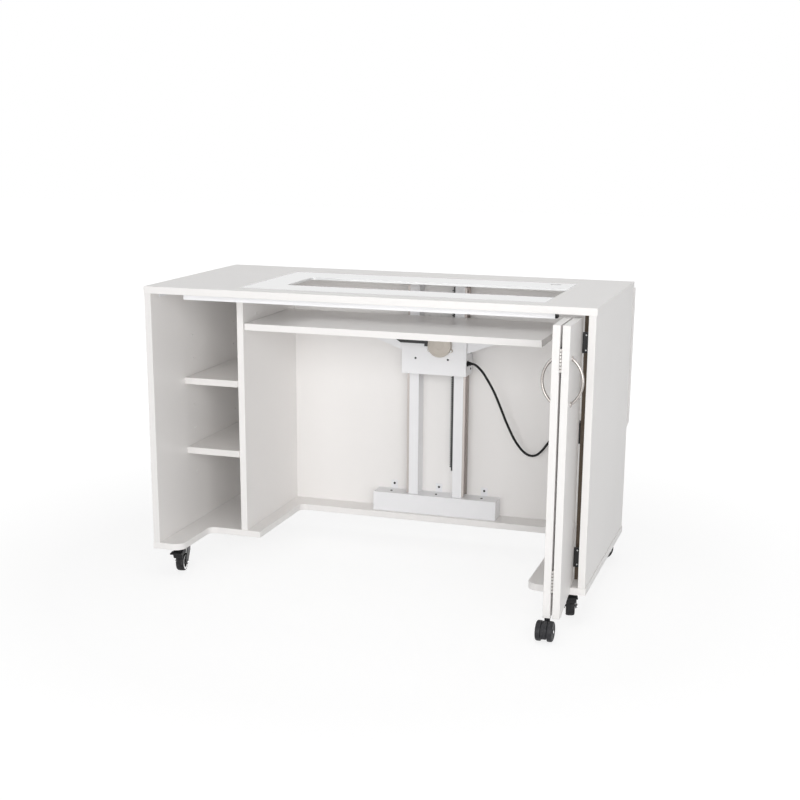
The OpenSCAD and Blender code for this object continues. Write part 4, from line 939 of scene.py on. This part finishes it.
def screws(name, places, radius, height, finish, body, instead_of=()):
    shape = bmesh.new()
    for place, axis in places:
        screw(shape, at(*place), axis, radius * MM, height * MM)
    bmesh.ops.recalc_face_normals(shape, faces=shape.faces)
    make_piece(name, shape, finish, body, instead_of=instead_of)
    print(name + ":", len(places), "heads of", 2 * radius, "mm")


one_head = bmesh.new()
screw(one_head, at(0, 0, 0), (0, 0, 1), 3 * MM, 1.5 * MM)
count("one screw head", one_head)
one_head.free()

# %% [markdown]
# ## The lift's black screws
# Three screws hold the plinth down and three more hold its tabs to the back panel. Two go into
# the front of the lift's housing and three into each of its side flanges. The drawing has plain
# discs in these places, and the new heads take over from them.

# %% Screws of the plinth and the housing
PLINTH_W, PLINTH_Y, PLINTH_D, PLINTH_TOP = 367, 496, 57, 73
TAB_FACE, TAB_SCREW_Z = 551, 88
PLINTH_XS = [LIFT_X + k * PLINTH_W * 0.37 for k in (-1, 0, 1)]
screws("plinth_screw_heads",
       [((x, PLINTH_Y + PLINTH_D * 0.44, PLINTH_TOP), (0, 0, 1)) for x in PLINTH_XS]
       + [((x, TAB_FACE, TAB_SCREW_Z), (0, -1, 0)) for x in PLINTH_XS],
       3.5, 1.6, steel_black, "cabinet", ["plinth_screws"])
HOUSING_FRONT, FRONT_SCREW_Z, FLANGE_SCREW_Y = 478, 477, 526
FRONT_XS, FLANGE_ZS = (LIFT_X - 53, LIFT_X + 41), (448, 494, 538)
screws("housing_screw_heads",
       [((x, HOUSING_FRONT, FRONT_SCREW_Z), (0, -1, 0)) for x in FRONT_XS]
       + [((LIFT_X + side * HOUSING_REACH, FLANGE_SCREW_Y, z), (side, 0, 0))
          for side in (1, -1) for z in FLANGE_ZS],
       3.2, 1.6, steel_black, "lift", ["housing_screws"])

# %% [markdown]
# ## Zinc screws of the carcass
# The door's side hinges, the caster plates and the corner brackets are fixed with zinc-plated
# screws. The drawing leaves them out, because they change neither a size nor a movement, so they
# stand in for nothing. Each row of places is worked out from what it holds.

# %% Screws of the hinges, caster plates and brackets
HINGE_SCREW_X, HINGE_SCREW_Y, HINGE_ZS = 1145, 33, (62, 594)
screws("hinge_screw_heads",
       [((HINGE_SCREW_X, HINGE_SCREW_Y, z + above), (0, -1, 0))
        for z in HINGE_ZS for above in (7, 43)],
       2.0, 1.0, zinc, "cabinet")
PLATE_HOLE, PLATE_UNDERSIDE = 17, -2.5
screws("caster_plate_screws",
       [((x + sx * PLATE_HOLE, y + sy * PLATE_HOLE, PLATE_UNDERSIDE), (0, 0, -1))
        for _, x, y, _ in CASTERS for sx in (-1, 1) for sy in (-1, 1)],
       3.6, 1.8, zinc, "cabinet")
# x of the bracket's face, side that its screw points to, and y of its front end
BRACKETS = [(22, 1, 46), (22, 1, 430), (1153, -1, 150), (1153, -1, 430)]
BRACKET_HOLE, BRACKET_SCREW_Z = 18, 681
screws("bracket_screws",
       [((x, y + BRACKET_HOLE, BRACKET_SCREW_Z), (out, 0, 0)) for x, out, y in BRACKETS],
       3.0, 1.4, zinc, "cabinet")

# %% [markdown]
# ## The gearcase
# The cap over the worm gear is a round casting with a soft rim, a raised rim line and three
# fixing ears, each with a screw. Its solid has the right outline but sharp edges. A lathe section
# with a rolled edge gives the cap, and three turned ears stand round it.

# %% Cast cap with its ears and their screws
GEAR_X, GEAR_BACK, GEAR_Z = 659.1, 478, 518
CAP = [(0, 0), (33.5, 0), (33.5, 12.8), (33.0, 14.6), (31.5, 15.7), (29.3, 16.0), (28.5, 15.4),
       (27.7, 15.4), (26.9, 15.8), (12.0, 15.8), (11.2, 15.2), (0, 15.2)]
EAR_REACH, EAR_ANGLES, EAR_H = 35, (206, 334, 88), 7.0
EAR = [(0, 0), (5.0, 0), (5.0, EAR_H - 1), (4.4, EAR_H), (0, EAR_H)]
ears = [(GEAR_X + EAR_REACH * math.cos(math.radians(angle)),
         GEAR_Z + EAR_REACH * math.sin(math.radians(angle))) for angle in EAR_ANGLES]
screws("gearcase_screws",
       [((x, GEAR_BACK - EAR_H, z), (0, -1, 0)) for x, z in ears],
       3.0, 1.6, zinc, "lift")
gearcase = lathe(CAP, (0, -1, 0), at(GEAR_X, GEAR_BACK, GEAR_Z), 96)
for x, z in ears:
    lathe(EAR, (0, -1, 0), at(x, GEAR_BACK, z), 32, gearcase)
casting = make_piece("cast_gearcase", closed_up(gearcase), cast_grey, "lift", 32,
                     ["motor_gearcase"])
print("gearcase:", round(casting.dimensions.x / MM, 1), "mm wide over its ears")

# %% [markdown]
# ## Plugs in the rail's ends
# The square tube under the front of the top would show its raw cut ends. The maker closes them
# with black plastic plugs, and the right-hand one is seen past the folded door. A plug is a
# rounded box that fills the tube and stands a hair proud.

# %% Two end plugs
PLUG_ENDS = [(100.6, 108.0), (1063.0, 1075.0)]
PLUG_FRONT, PLUG_BACK, PLUG_LOW, PLUG_TOP = 25.0, 49.0, 673.6, 686.8
plugs = bmesh.new()
for left, right in PLUG_ENDS:
    brick(plugs, at(left, PLUG_FRONT, PLUG_LOW), at(right, PLUG_BACK, PLUG_TOP), 1.0)
make_piece("rail_end_plugs", closed_up(plugs), black_plastic, "cabinet", 35)
print("plugs:", len(PLUG_ENDS))

# %% [markdown]
# ## Floor and world
# The photograph was cut out on white, so the stage is a plain pale floor. Floor and world are
# lifted towards white only for rays from the camera, straight or by way of a shiny surface, which
# leaves the light on the cabinet as it was. Near the cabinet the floor is lifted less and keeps a
# faint shadow. Further out it turns fully white, so that no horizon shows.

# %% White world and floor for the camera only
WORLD_LIGHT, FLOOR_TONE, FLOOR_GLOW = 0.26, 0.93, 1.12
NEAR, FAR, KEPT_SHADOW, FLOOR_HALF = 0.9, 2.4, 0.28, 14
WHITE = (1, 1, 1, 1)


def lifted(tree, surface, white, amount):
    seen, mirrored, through = (node(tree, "ShaderNodeLightPath", output=name) for name in (
        "Is Camera Ray", "Is Glossy Ray", "Is Transmission Ray"))
    return node(tree, "ShaderNodeMixShader", inputs={
        0: (seen + mirrored + through) * amount, 1: surface, 2: white})


world = bpy.data.worlds.new("studio")
world.use_nodes = True
bpy.context.scene.world = world
sky = world.node_tree
sky.nodes.clear()
dim, bright = (node(sky, "ShaderNodeBackground", inputs={"Color": WHITE, "Strength": strength})
               for strength in (WORLD_LIGHT, 1.0))
node(sky, "ShaderNodeOutputWorld", inputs={"Surface": lifted(sky, dim, bright, 1.0)})

floor_material, floor_tree = blank("studio_floor")
matt = node(floor_tree, "ShaderNodeBsdfPrincipled", inputs={
    "Base Color": (FLOOR_TONE, FLOOR_TONE, FLOOR_TONE, 1), "Roughness": 0.9})
glow = node(floor_tree, "ShaderNodeEmission", inputs={"Color": WHITE, "Strength": FLOOR_GLOW})
across = node(floor_tree, "ShaderNodeVectorMath", {"operation": "LENGTH"}, {
    0: place_of(floor_tree)}, "Value")
close_by = node(floor_tree, "ShaderNodeMapRange", {"clamp": True}, {
    "Value": across, "From Min": NEAR, "From Max": FAR, "To Min": 1.0, "To Max": 0.0})
node(floor_tree, "ShaderNodeOutputMaterial", inputs={
    "Surface": lifted(floor_tree, matt, glow, 1 - close_by * KEPT_SHADOW)})
stage = bmesh.new()
bmesh.ops.create_grid(stage, x_segments=1, y_segments=1, size=FLOOR_HALF)
floor_mesh = bpy.data.meshes.new("studio_floor")
stage.to_mesh(floor_mesh)
stage.free()
floor_mesh.materials.append(floor_material)
floor = add_object("studio_floor", floor_mesh)
print("floor:", 2 * FLOOR_HALF, "m wide, nodes of its material:", len(floor_tree.nodes))

# %% [markdown]
# ## Soft boxes
# Two wide lamps stand in front and to the right, and a weak one hangs above the table top. Wide
# lamps give the soft shadows of a photograph taken in a white room, and the dim world fills the
# inside. The right end stays a shade darker than the front, as in the photograph.

# %% Three square lamps
# place, aim and side in metres, and power in watts
LAMPS = [("front_soft_box", (0.3, -4.8, 0.95), (0.0, 0.0, 0.4), 4.0, 118),
         ("right_soft_box", (2.9, -4.4, 1.1), (0.0, 0.0, 0.4), 3.6, 99),
         ("top_soft_box", (0.3, 0.1, 3.6), (0.0, 0.1, 0.4), 2.6, 29)]
for name, place, aim, size, watts in LAMPS:
    lamp = bpy.data.lights.new(name, "AREA")
    lamp.shape, lamp.size, lamp.energy = "SQUARE", size, watts
    holder = add_object(name, lamp)
    look = (Vector(aim) - Vector(place)).to_track_quat("-Z", "Y")
    holder.matrix_world = Matrix.Translation(place) @ look.to_matrix().to_4x4()
bpy.context.scene.view_settings.view_transform = "Standard"
print("lamps:", len(LAMPS))
